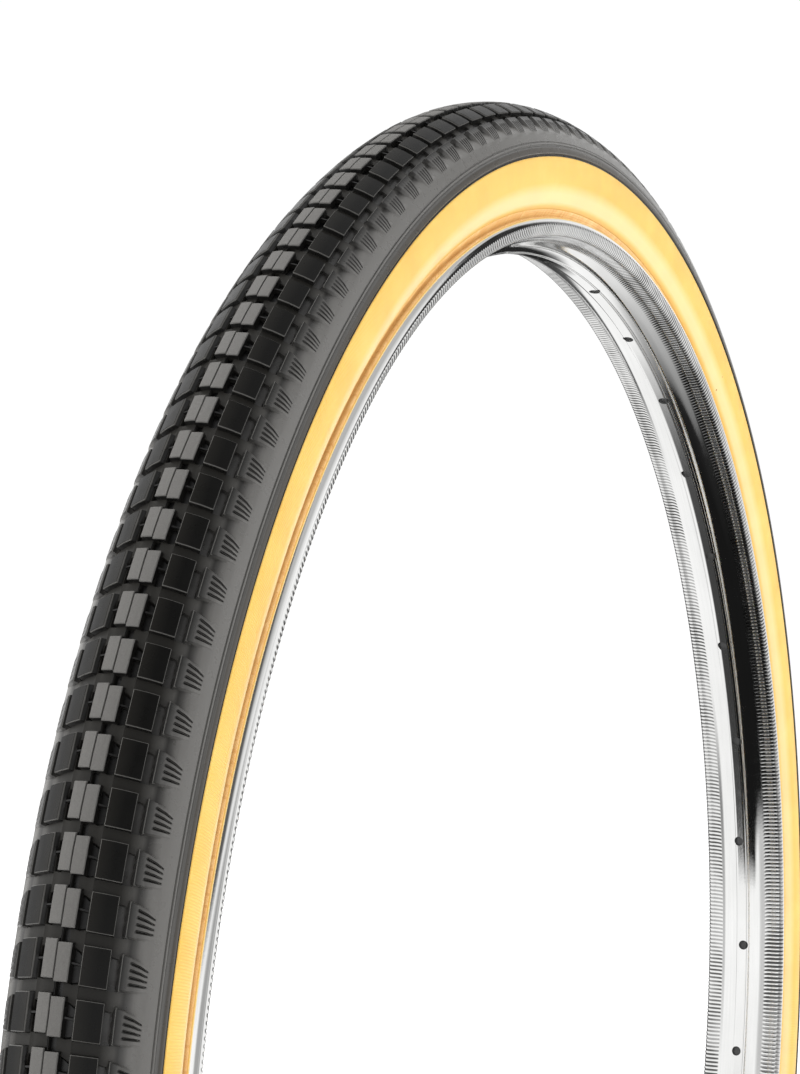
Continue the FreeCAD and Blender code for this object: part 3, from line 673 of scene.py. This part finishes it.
stem_low, stem_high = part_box("valve_stem")
z_foot, z_tip = stem_low.z * 1000, stem_high.z * 1000
stem = lathe_thread("threaded_stem", [
    (z_foot + 0.0, 3.4, False), (z_foot + 0.3, 3.7, False), (-305.2, 3.7, False), (-305.0, 3.82, True),
    (z_tip - 0.45, 3.82, True), (z_tip - 0.30, 3.45, False), (z_tip - 0.02, 3.30, False)], sharp=40.0, bore=2.62)

# ---------------------------------------------------------------------------
# Materials
# ---------------------------------------------------------------------------


class Nodes:
    def __init__(self, name):
        self.mat = bpy.data.materials.new(name)
        self.mat.use_nodes = True
        self.t = self.mat.node_tree
        self.t.nodes.clear()
        self.out = self.t.nodes.new("ShaderNodeOutputMaterial")
        self.b = self.t.nodes.new("ShaderNodeBsdfPrincipled")
        self.t.links.new(self.b.outputs[0], self.out.inputs[0])
        self.co = self.t.nodes.new("ShaderNodeTexCoord").outputs["Object"]

    def put(self, sock, value):
        self.b.inputs[sock].default_value = value

    def new(self, kind, **kw):
        n = self.t.nodes.new(kind)
        for k, v in kw.items():
            setattr(n, k, v)
        return n

    def link(self, a, b):
        self.t.links.new(a, b)

    def math(self, op, a, b=None, clamp=False):
        n = self.new("ShaderNodeMath", operation=op, use_clamp=clamp)
        for i, v in enumerate((a, b)):
            if v is None:
                continue
            if isinstance(v, (int, float)):
                n.inputs[i].default_value = v
            else:
                self.link(v, n.inputs[i])
        return n.outputs[0]

    def noise(self, scale, detail=3.0, rough=0.5, vec=None):
        n = self.new("ShaderNodeTexNoise")
        n.inputs["Scale"].default_value = scale
        n.inputs["Detail"].default_value = detail
        n.inputs["Roughness"].default_value = rough
        self.link(vec or self.co, n.inputs["Vector"])
        return n.outputs[0]

    def ramp(self, fac, stops, interp="LINEAR"):
        n = self.new("ShaderNodeValToRGB")
        n.color_ramp.interpolation = interp
        els = n.color_ramp.elements
        while len(els) < len(stops):
            els.new(0.5)
        for e, (p, c) in zip(els, stops):
            e.position = p
            e.color = (*c, 1) if len(c) == 3 else c
        self.link(fac, n.inputs[0])
        return n.outputs[0]

    def remap(self, v, a, b, c, d):
        n = self.new("ShaderNodeMapRange")
        self.link(v, n.inputs[0])
        for i, x in enumerate((a, b, c, d)):
            n.inputs[i + 1].default_value = x
        return n.outputs[0]

    def mix(self, fac, a, b):
        n = self.new("ShaderNodeMix", data_type="RGBA")
        if isinstance(fac, (int, float)):
            n.inputs[0].default_value = fac
        else:
            self.link(fac, n.inputs[0])
        for i, v in ((6, a), (7, b)):
            if isinstance(v, tuple):
                n.inputs[i].default_value = (*v, 1)
            else:
                self.link(v, n.inputs[i])
        return n.outputs[2]

    def bump(self, height, strength, dist, normal=None):
        n = self.new("ShaderNodeBump")
        n.inputs["Strength"].default_value = strength
        n.inputs["Distance"].default_value = dist
        self.link(height, n.inputs["Height"])
        if normal is not None:
            self.link(normal, n.inputs["Normal"])
        return n.outputs[0]

    def wheel(self):
        """(radius in mm, |y| in mm, wheel angle in radians)."""
        sep = self.new("ShaderNodeSeparateXYZ")
        self.link(self.co, sep.inputs[0])
        x, y, z = sep.outputs
        r2 = self.math("ADD", self.math("MULTIPLY", x, x), self.math("MULTIPLY", z, z))
        r = self.math("MULTIPLY", self.math("SQRT", r2), 1000.0)
        ya = self.math("MULTIPLY", self.math("ABSOLUTE", y), 1000.0)
        a = self.math("ARCTAN2", z, x)
        return r, ya, a


def tread_material():
    m = Nodes("black_tread_rubber")
    r, y, a = m.wheel()
    n1 = m.noise(260.0, 4, 0.6)
    n2 = m.noise(2600.0, 3, 0.6)
    black = m.ramp(n1, [(0.3, (0.0055, 0.0053, 0.0050)), (0.7, (0.0085, 0.0082, 0.0077))])
    # the rib beside the gum is a little browner
    rib = m.math("MULTIPLY", m.remap(r, 341.6, 341.2, 0.0, 1.0), m.remap(r, 339.0, 339.3, 0.0, 1.0))
    col = m.mix(rib, black, (0.052, 0.046, 0.038))
    # middle running faces are matt and dusty, painted lighter grey as a sheen; the next blocks black, with a painted
    # sheen lighter towards the centre; the hollows and the skirt duller, painted lighter as a sheen
    lift = m.new("ShaderNodeAttribute", attribute_type="GEOMETRY", attribute_name="lift").outputs["Fac"]
    ya = m.math("ABSOLUTE", y)
    face = m.remap(lift, -0.22, -0.06, 0.0, 1.0)
    top = m.math("MULTIPLY", face, m.remap(ya, 4.7, 4.4, 0.0, 1.0))
    side = m.math("MULTIPLY", m.remap(lift, -1.0, -0.3, 0.0, 1.0), m.math("MULTIPLY", m.remap(ya, 4.7, 5.2, 0.0, 1.0), m.remap(ya, 15.9, 14.9, 0.0, 1.0)))
    low = m.math("MULTIPLY", m.remap(lift, -1.38, -1.66, 0.0, 1.0), m.remap(lift, -1.90, -2.35, 1.0, 0.0))
    # the skirt, and the shoulder pads by half, painted grey: a painted sheen
    pad = m.math("MULTIPLY", m.remap(ya, 15.6, 16.6, 0.0, 0.50), m.remap(lift, -1.2, -0.3, 0.0, 1.0))
    skirt = m.math("MULTIPLY", m.math("MAXIMUM", m.remap(r, 353.0, 348.5, 0.0, 1.0), pad), m.remap(r, 341.2, 341.8, 0.0, 1.0))
    grit = m.remap(n2, 0.25, 0.75, 0.8, 1.15)
    # mid blocks near-black, with a painted sheen lighter towards the centre line
    black_with_sheen = m.mix(m.remap(ya, 10.5, 5.2, 0.0, 1.0), m.ramp(n1, [(0.3, (0.0050, 0.0049, 0.0046)), (0.7, (0.0054, 0.0053, 0.0050))]), (0.017, 0.016, 0.014))
    col = m.mix(side, col, black_with_sheen)
    # channel floors a little lighter than the blocks: a painted sheen
    col = m.mix(low, col, (0.019, 0.018, 0.016))
    col = m.mix(skirt, col, (0.140, 0.136, 0.129))
    # painted shade in the hollows beside the shoulder blocks, up to the skirt
    hollow_shade = m.math("MULTIPLY", m.remap(lift, -0.75, -1.55, 0.0, 0.85), m.remap(lift, -4.5, -4.9, 1.0, 0.0))
    hollow_shade = m.math("MULTIPLY", hollow_shade, m.remap(ya, 14.6, 15.6, 0.0, 1.0))
    col = m.mix(hollow_shade, col, (0.011, 0.0105, 0.010))
    # painted shade: a dark line along the floor of each flute
    col = m.mix(m.remap(lift, -5.6, -7.2, 0.0, 1.0), col, (0.006, 0.006, 0.006))
    # light grey on the middle running faces: dust and a painted sheen
    dust_and_sheen = m.mix(top, col, (0.125, 0.121, 0.114))
    col = m.mix(m.math("MULTIPLY", m.math("MULTIPLY", top, grit), 0.85), col, dust_and_sheen)
    # painted highlight along the block edges
    edge_glint = m.math("MULTIPLY", m.remap(lift, -0.03, -0.12, 0.0, 1.0), m.remap(lift, -0.50, -0.34, 0.0, 1.0))
    edge_glint = m.math("MULTIPLY", edge_glint, m.remap(ya, 15.4, 15.0, 0.0, 1.0))
    col = m.mix(m.math("MULTIPLY", edge_glint, 0.45), col, (0.20, 0.195, 0.185))
    m.link(col, m.b.inputs["Base Color"])
    base_rough = m.remap(n1, 0.3, 0.7, 0.25, 0.34)
    base_rough = m.math("ADD", base_rough, m.math("MULTIPLY", top, 0.20))
    m.link(m.math("ADD", base_rough, m.math("MULTIPLY", low, 0.10)), m.b.inputs["Roughness"])
    dull = m.math("MAXIMUM", side, m.math("MULTIPLY", low, 0.8))
    m.link(m.remap(dull, 0.0, 1.0, 0.45, 0.14), m.b.inputs["Specular IOR Level"])
    h = m.math("ADD", m.math("MULTIPLY", n1, 0.6), m.math("MULTIPLY", n2, 0.4))
    m.link(m.bump(h, 0.22, 0.0002), m.b.inputs["Normal"])
    return m.mat


def gum_material():
    m = Nodes("yellow_gum_rubber")
    r, y, a = m.wheel()
    n1 = m.noise(60.0, 4, 0.55)
    n2 = m.noise(700.0, 3, 0.6)
    col = m.ramp(n1, [(0.25, (0.86, 0.50, 0.085)), (0.55, (0.90, 0.565, 0.115)), (0.8, (0.93, 0.62, 0.16))])
    # a paler cream band across the middle, a painted highlight; warmer towards the bead
    cream_highlight = m.math("MULTIPLY", m.remap(r, 329.0, 325.0, 0.0, 1.0), m.remap(r, 320.6, 322.2, 0.0, 1.0))
    col = m.mix(m.math("MULTIPLY", cream_highlight, 0.42), col, (0.95, 0.82, 0.55))
    low = m.remap(r, 321.4, 319.8, 0.0, 1.0)
    col = m.mix(m.math("MULTIPLY", low, 0.75), col, (0.80, 0.42, 0.08))
    # small brown specks
    v = m.new("ShaderNodeTexVoronoi")
    v.inputs["Scale"].default_value = 95.0
    m.link(m.co, v.inputs["Vector"])
    speck = m.math("MULTIPLY", m.math("LESS_THAN", v.outputs["Distance"], 0.045), m.math("GREATER_THAN", m.noise(31.0, 2), 0.60))
    col = m.mix(speck, col, (0.45, 0.16, 0.01))
    m.link(col, m.b.inputs["Base Color"])
    m.link(m.remap(n1, 0.3, 0.7, 0.30, 0.42), m.b.inputs["Roughness"])
    m.put("Specular IOR Level", 0.5)
    m.put("Subsurface Weight", 0.12)
    m.put("Subsurface Radius", (0.004, 0.002, 0.0006))
    m.put("Subsurface Scale", 0.6)
    # fine ribs across the band on its outer part
    wave = m.math("SINE", m.math("MULTIPLY", a, 2592.0))
    rib_zone = m.math("MULTIPLY", m.remap(r, 337.9, 337.0, 0.0, 1.0), m.remap(r, 326.5, 328.0, 0.0, 1.0))
    h = m.math("ADD", m.math("MULTIPLY", m.math("MULTIPLY", wave, rib_zone), 0.5), m.math("MULTIPLY", n2, 0.25))
    m.link(m.bump(h, 0.55, 0.00012), m.b.inputs["Normal"])
    return m.mat


def chafer_material():
    m = Nodes("orange_chafer_cloth")
    r, y, a = m.wheel()
    n1 = m.noise(220.0, 4, 0.6)
    col = m.ramp(n1, [(0.3, (0.66, 0.36, 0.12)), (0.55, (0.76, 0.47, 0.19)), (0.75, (0.86, 0.62, 0.33))])
    dots = m.math("SINE", m.math("MULTIPLY", a, 611.0))
    # the cloth glows a little to lighten its shaded crease: painted light
    m.put("Emission Color", (0.90, 0.52, 0.18, 1.0))
    m.put("Emission Strength", 0.28)
    blot = m.math("GREATER_THAN", m.math("ADD", m.math("MULTIPLY", dots, 0.25), m.noise(170.0, 2)), 0.78)
    col = m.mix(m.math("MULTIPLY", blot, 0.5), col, (0.55, 0.24, 0.05))
    m.link(col, m.b.inputs["Base Color"])
    m.link(m.remap(n1, 0.3, 0.7, 0.42, 0.6), m.b.inputs["Roughness"])
    weave = m.math("ADD", m.math("SINE", m.math("MULTIPLY", a, 2900.0)), m.math("SINE", m.math("MULTIPLY", r, 9.0)))
    m.link(m.bump(weave, 0.3, 0.00008), m.b.inputs["Normal"])
    return m.mat


def chrome_material():
    m = Nodes("bright_chrome")
    n1 = m.noise(18.0, 4, 0.55)
    n2 = m.noise(900.0, 3, 0.6)
    r, y, a = m.wheel()
    ya = m.math("ABSOLUTE", y)
    ribbed = m.math("MULTIPLY", m.remap(ya, 10.6, 11.3, 0.0, 1.0), m.remap(r, 313.8, 313.1, 0.0, 1.0))
    # the knurl valleys are darkened between the ribs: painted shade
    valley = m.remap(m.math("COSINE", m.math("MULTIPLY", a, float(RIBS))), 0.25, -0.35, 0.0, 1.0)
    valley_shade_strength = m.remap(m.noise(30.0, 2, 0.5), 0.44, 0.56, 0.55, 1.0)
    # over wheel angles 94-152 degrees the knurl is darkened further: a painted dark reflection
    deg = m.math("MULTIPLY", a, 57.29578)
    dark_reflection_window = m.math("MULTIPLY", m.remap(deg, 94.0, 102.0, 0.0, 1.0), m.remap(deg, 152.0, 144.0, 0.0, 1.0))
    valley_shade_strength = m.math("MAXIMUM", valley_shade_strength, dark_reflection_window)
    valley_shade_mask = m.math("MULTIPLY", m.math("MULTIPLY", valley, ribbed), valley_shade_strength)
    clean = m.ramp(n1, [(0.3, (0.80, 0.80, 0.79)), (0.7, (0.88, 0.88, 0.87))])
    base = m.mix(m.math("MULTIPLY", valley_shade_mask, 0.92), clean, (0.045, 0.044, 0.042))
    # near-black in the valleys over that angle range: painted dark reflection
    m.link(m.mix(m.math("MULTIPLY", m.math("MULTIPLY", valley_shade_mask, dark_reflection_window), 0.9), base, (0.010, 0.010, 0.010)), m.b.inputs["Base Color"])
    m.put("Metallic", 1.0)
    polish = m.remap(m.noise(140.0, 4, 0.6), 0.35, 0.75, 0.045, 0.12)
    m.link(m.math("ADD", polish, m.math("ADD", m.math("MULTIPLY", ribbed, 0.10), m.math("MULTIPLY", valley_shade_mask, 0.18))), m.b.inputs["Roughness"])
    m.link(m.bump(m.math("ADD", n2, m.math("MULTIPLY", n1, 2.0)), 0.05, 0.0002), m.b.inputs["Normal"])
    return m.mat


def metal(name, color, rough, scale=400.0, metallic=1.0):
    m = Nodes(name)
    n1 = m.noise(scale, 4, 0.6)
    lo = tuple(c * 0.86 for c in color)
    m.link(m.ramp(n1, [(0.3, lo), (0.7, color)]), m.b.inputs["Base Color"])
    m.put("Metallic", metallic)
    m.link(m.remap(n1, 0.3, 0.7, rough * 0.8, rough * 1.25), m.b.inputs["Roughness"])
    m.link(m.bump(n1, 0.12, 0.00008), m.b.inputs["Normal"])
    return m.mat


def plain(name, color, rough, scale=500.0, ribs=None):
    m = Nodes(name)
    n1 = m.noise(scale, 4, 0.6)
    lo = tuple(c * 0.8 for c in color)
    m.link(m.ramp(n1, [(0.3, lo), (0.7, color)]), m.b.inputs["Base Color"])
    m.link(m.remap(n1, 0.3, 0.7, rough * 0.85, rough * 1.15), m.b.inputs["Roughness"])
    h = n1
    if ribs:
        r, y, a = m.wheel()
        h = m.math("ADD", n1, m.math("MULTIPLY", m.math("SINE", m.math("MULTIPLY", a, ribs)), 0.5))
    m.link(m.bump(h, 0.3, 0.0001), m.b.inputs["Normal"])
    return m.mat


M_TREAD, M_GUM, M_CHAFER, M_CHROME = tread_material(), gum_material(), chafer_material(), chrome_material()
M_NICKEL = metal("nickel_plate", (0.72, 0.69, 0.63), 0.20)
M_BRASS = metal("turned_brass", (0.80, 0.60, 0.28), 0.25)
M_STEEL = metal("spring_wire", (0.58, 0.58, 0.59), 0.28)
M_BEAD = metal("coppered_wire", (0.72, 0.52, 0.40), 0.3)
M_BUTYL = plain("butyl_tube", (0.022, 0.022, 0.022), 0.55)
M_SEAL = plain("seal_rubber_mat", (0.03, 0.028, 0.028), 0.6)
M_CAP = plain("cap_plastic_mat", (0.014, 0.014, 0.014), 0.38, 900.0)
M_TAPE = plain("tape_rubber_mat", (0.05, 0.05, 0.05), 0.6)
M_PLY = plain("casing_cord", (0.52, 0.38, 0.20), 0.7, 300.0, ribs=3000.0)
M_BREAKER = plain("breaker_cloth", (0.24, 0.20, 0.14), 0.75, 300.0, ribs=1800.0)


def dress(ob, mat):
    ob.data.materials.clear()
    ob.data.materials.append(mat)


for ob, mat in ((tread, M_TREAD), (left_wall, M_GUM), (right_wall, M_GUM), (left_chafer, M_CHAFER),
                (right_chafer, M_CHAFER), (rim, M_CHROME), (stem, M_NICKEL)):
    dress(ob, mat)
CAD_LOOK = {
    "breaker_strip": M_BREAKER, "outer_casing_ply": M_PLY, "inner_casing_ply": M_PLY, "left_bead_wire": M_BEAD,
    "right_bead_wire": M_BEAD, "inner_tube": M_BUTYL, "tube_valve_base": M_BUTYL, "core_barrel": M_BRASS,
    "core_gasket": M_SEAL, "core_pin": M_BRASS, "pin_seal": M_SEAL, "pin_cup": M_BRASS, "core_spring": M_STEEL,
    "valve_cap": M_CAP, "cap_seal": M_SEAL, "rim_washer": M_NICKEL, "rim_nut": M_NICKEL, "rim_tape": M_TAPE,
}
for node, mat in CAD_LOOK.items():
    dress(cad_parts[node], mat)

for ob, nodes, slot in (
        (tread, ("tread_cap",), "tread_rubber"),
        (left_wall, ("left_sidewall",), "gum_rubber"),
        (right_wall, ("right_sidewall",), "gum_rubber"),
        (left_chafer, ("left_chafer",), "chafer_fabric"),
        (right_chafer, ("right_chafer",), "chafer_fabric"),
        (rim, ("rim",), "rim_chrome"),
        (stem, ("valve_stem",), "valve_nickel")):
    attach(ob, "wheel")
    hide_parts(*nodes)

# ---------------------------------------------------------------------------
# Floor, light and camera
# ---------------------------------------------------------------------------
bpy.ops.mesh.primitive_plane_add(size=60.0, location=(0, 0, cad_low[2] - 0.0005))
floor = bpy.context.object
floor.name = "studio_floor"
fm = Nodes("pale_floor")
fm.link(fm.ramp(fm.noise(3.0, 3), [(0.3, (0.62, 0.62, 0.62)), (0.7, (0.64, 0.64, 0.64))]), fm.b.inputs["Base Color"])
fm.put("Roughness", 0.9)
fm.put("Specular IOR Level", 0.0)
fm.put("Emission Color", (1.0, 1.0, 1.0, 1.0))
fm.put("Emission Strength", 0.66)
dress(floor, fm.mat)
floor.visible_glossy = False

world = bpy.data.worlds.new("white_studio")
scene.world = world
world.use_nodes = True
bg = world.node_tree.nodes["Background"]
bg.inputs[0].default_value = (1.0, 1.0, 1.0, 1)
bg.inputs[1].default_value = 0.62
world.cycles.sampling_method = "NONE"

# the white sweep behind the object, seen by the camera only
bpy.ops.mesh.primitive_uv_sphere_add(segments=48, ring_count=24, radius=28.0, location=(0, 0, 0))
dome = bpy.context.object
dome.name = "white_sweep"
dm = bpy.data.materials.new("white_sweep")
dm.use_nodes = True
dm.node_tree.nodes.clear()
d_out = dm.node_tree.nodes.new("ShaderNodeOutputMaterial")
d_em = dm.node_tree.nodes.new("ShaderNodeEmission")
d_em.inputs[0].default_value = (1.0, 1.0, 1.0, 1.0)
d_em.inputs[1].default_value = 1.02
dm.node_tree.links.new(d_em.outputs[0], d_out.inputs[0])
dress(dome, dm)
dome.visible_diffuse = dome.visible_glossy = dome.visible_transmission = dome.visible_shadow = False


def aim(ob, target):
    d = Vector(target) - ob.location
    ob.rotation_euler = d.to_track_quat("-Z", "Y").to_euler()


def softbox(name, at, target, size, size_y, watts):
    li = bpy.data.lights.new(name, "AREA")
    li.shape = "RECTANGLE"
    li.size, li.size_y = size, size_y
    li.energy = watts
    ob = bpy.data.objects.new(name, li)
    scene.collection.objects.link(ob)
    ob.location = at
    aim(ob, target)
    ob.visible_camera = False
    return ob


for box in (softbox("key_left", (-1.25, 1.35, 0.95), (-0.25, 0.0, 0.2), 1.3, 1.7, 30.0),
            softbox("top", (0.1, 0.75, 1.9), (0.0, 0.0, 0.2), 1.4, 1.2, 32.0),
            softbox("right", (0.9, -1.9, 0.3), (0.0, 0.0, 0.1), 1.6, 2.0, 25.0)):
    box.visible_glossy = False


def mirrored_room():
    """The room as polished faces see it: white walls, a dark floor before the
    object, a dark doorway to each side and a dim ceiling."""
    bpy.ops.mesh.primitive_uv_sphere_add(segments=48, ring_count=24, radius=24.0, location=(0, 0, 0))
    ob = bpy.context.object
    ob.name = "mirrored_room"
    m = Nodes("mirrored_room")
    unit = m.new("ShaderNodeVectorMath", operation="NORMALIZE")
    m.link(m.co, unit.inputs[0])
    sep = m.new("ShaderNodeSeparateXYZ")
    m.link(unit.outputs[0], sep.inputs[0])
    x, y, z = sep.outputs
    deg = 57.29578
    az = m.math("MULTIPLY", m.math("ARCTAN2", y, x), deg)
    az = m.math("MODULO", m.math("ADD", az, 360.0), 360.0)
    az2 = m.math("MODULO", m.math("ADD", az, 180.0), 360.0)
    el = m.math("MULTIPLY", m.math("ARCSINE", z), deg)

    def window(v, lo, hi, soft):
        return m.math("MULTIPLY", m.remap(v, lo - soft, lo + soft, 0.0, 1.0), m.remap(v, hi - soft, hi + soft, 1.0, 0.0))

    def zone(a, a0, a1, e0, e1, soft_a, soft_e):
        return m.math("MULTIPLY", window(a, a0, a1, soft_a), window(el, e0, e1, soft_e))

    def blend(value, level, mask):
        # value + (level - value) * mask
        return m.math("ADD", value, m.math("MULTIPLY", m.math("SUBTRACT", level, value), mask))

    v = m.remap(el, 12.0, 42.0, 1.06, 0.55)
    v = blend(v, 0.12, zone(az, 172.0, 242.0, 24.0, 78.0, 12.0, 5.0))
    v = blend(v, 0.10, zone(az, 12.0, 88.0, -20.0, -4.0, 6.0, 3.0))
    v = blend(v, 0.42, zone(az, 240.0, 300.0, -22.0, 12.0, 10.0, 6.0))
    v = blend(v, 0.42, zone(az, 300.0, 318.0, -32.0, -2.0, 4.0, 4.0))
    v = blend(v, 0.50, zone(az, 342.0, 350.0, -13.0, -1.0, 3.0, 3.0))
    v = blend(v, 0.02, zone(az2, 177.0, 203.0, -14.0, 1.0, 3.0, 2.5))
    v = blend(v, 0.03, zone(az, 329.0, 342.5, -1.0, 32.0, 2.0, 2.5))
    # the floor before the object, laid out flat
    down = m.math("MAXIMUM", m.math("MULTIPLY", z, -1.0), 0.02)
    fx = m.math("DIVIDE", x, down)
    fy = m.math("DIVIDE", y, down)
    edge = m.math("SUBTRACT", fy, m.math("ADD", m.math("MULTIPLY", fx, -0.15), 0.28))
    side = m.math("MULTIPLY", m.remap(edge, 0.02, 0.26, 1.0, 0.0), m.remap(z, -0.12, -0.20, 0.0, 1.0))
    reach = m.remap(fx, -2.2, -1.0, -1.7, -2.5)
    side = m.math("MULTIPLY", side, m.remap(m.math("SUBTRACT", fy, reach), -0.35, 0.35, 0.0, 1.0))
    dim = m.ramp(m.remap(fx, 0.0, 2.0, 0.0, 1.0), [(0.0, (0.01,) * 3), (0.17, (0.02,) * 3), (0.22, (0.20,) * 3),
                                                 (0.30, (0.36,) * 3), (0.45, (0.55,) * 3), (0.62, (0.80,) * 3), (0.95, (1.0,) * 3)])
    glow = m.remap(edge, -0.16, 0.02, 0.0, 0.075)
    v = blend(v, m.math("ADD", dim, glow), m.math("MULTIPLY", side, m.remap(fx, -4.2, -2.9, 0.0, 1.0)))
    v = m.math("MULTIPLY", v, m.remap(m.noise(0.35, 3), 0.3, 0.7, 0.95, 1.03))
    m.put("Base Color", (0.0, 0.0, 0.0, 1.0))
    m.put("Specular IOR Level", 0.0)
    m.put("Emission Color", (1.0, 1.0, 1.0, 1.0))
    m.link(v, m.b.inputs["Emission Strength"])
    dress(ob, m.mat)
    ob.visible_camera = ob.visible_diffuse = ob.visible_transmission = ob.visible_shadow = False
    return ob


mirrored_room()

cam_data = bpy.data.cameras.new("camera")
cam = bpy.data.objects.new("camera", cam_data)
scene.collection.objects.link(cam)
eye = Vector((-0.8048, -0.2940, 0.2436))
look = Vector((0.0342, 0.0686, 0.1956))
up = Vector((0.0462, 0.0, 0.9989))
back = (eye - look).normalized()
right = up.cross(back).normalized()
true_up = back.cross(right)
cam.matrix_world = Matrix((
    (right.x, true_up.x, back.x, eye.x),
    (right.y, true_up.y, back.y, eye.y),
    (right.z, true_up.z, back.z, eye.z),
    (0, 0, 0, 1)))
cam_data.sensor_width = 36.0
cam_data.sensor_fit = "AUTO"
cam_data.lens = 75.65
cam_data.clip_start = 0.01
cam_data.clip_end = 200.0
scene.camera = cam
scene.view_settings.view_transform = "Standard"
scene.view_settings.look = "None"
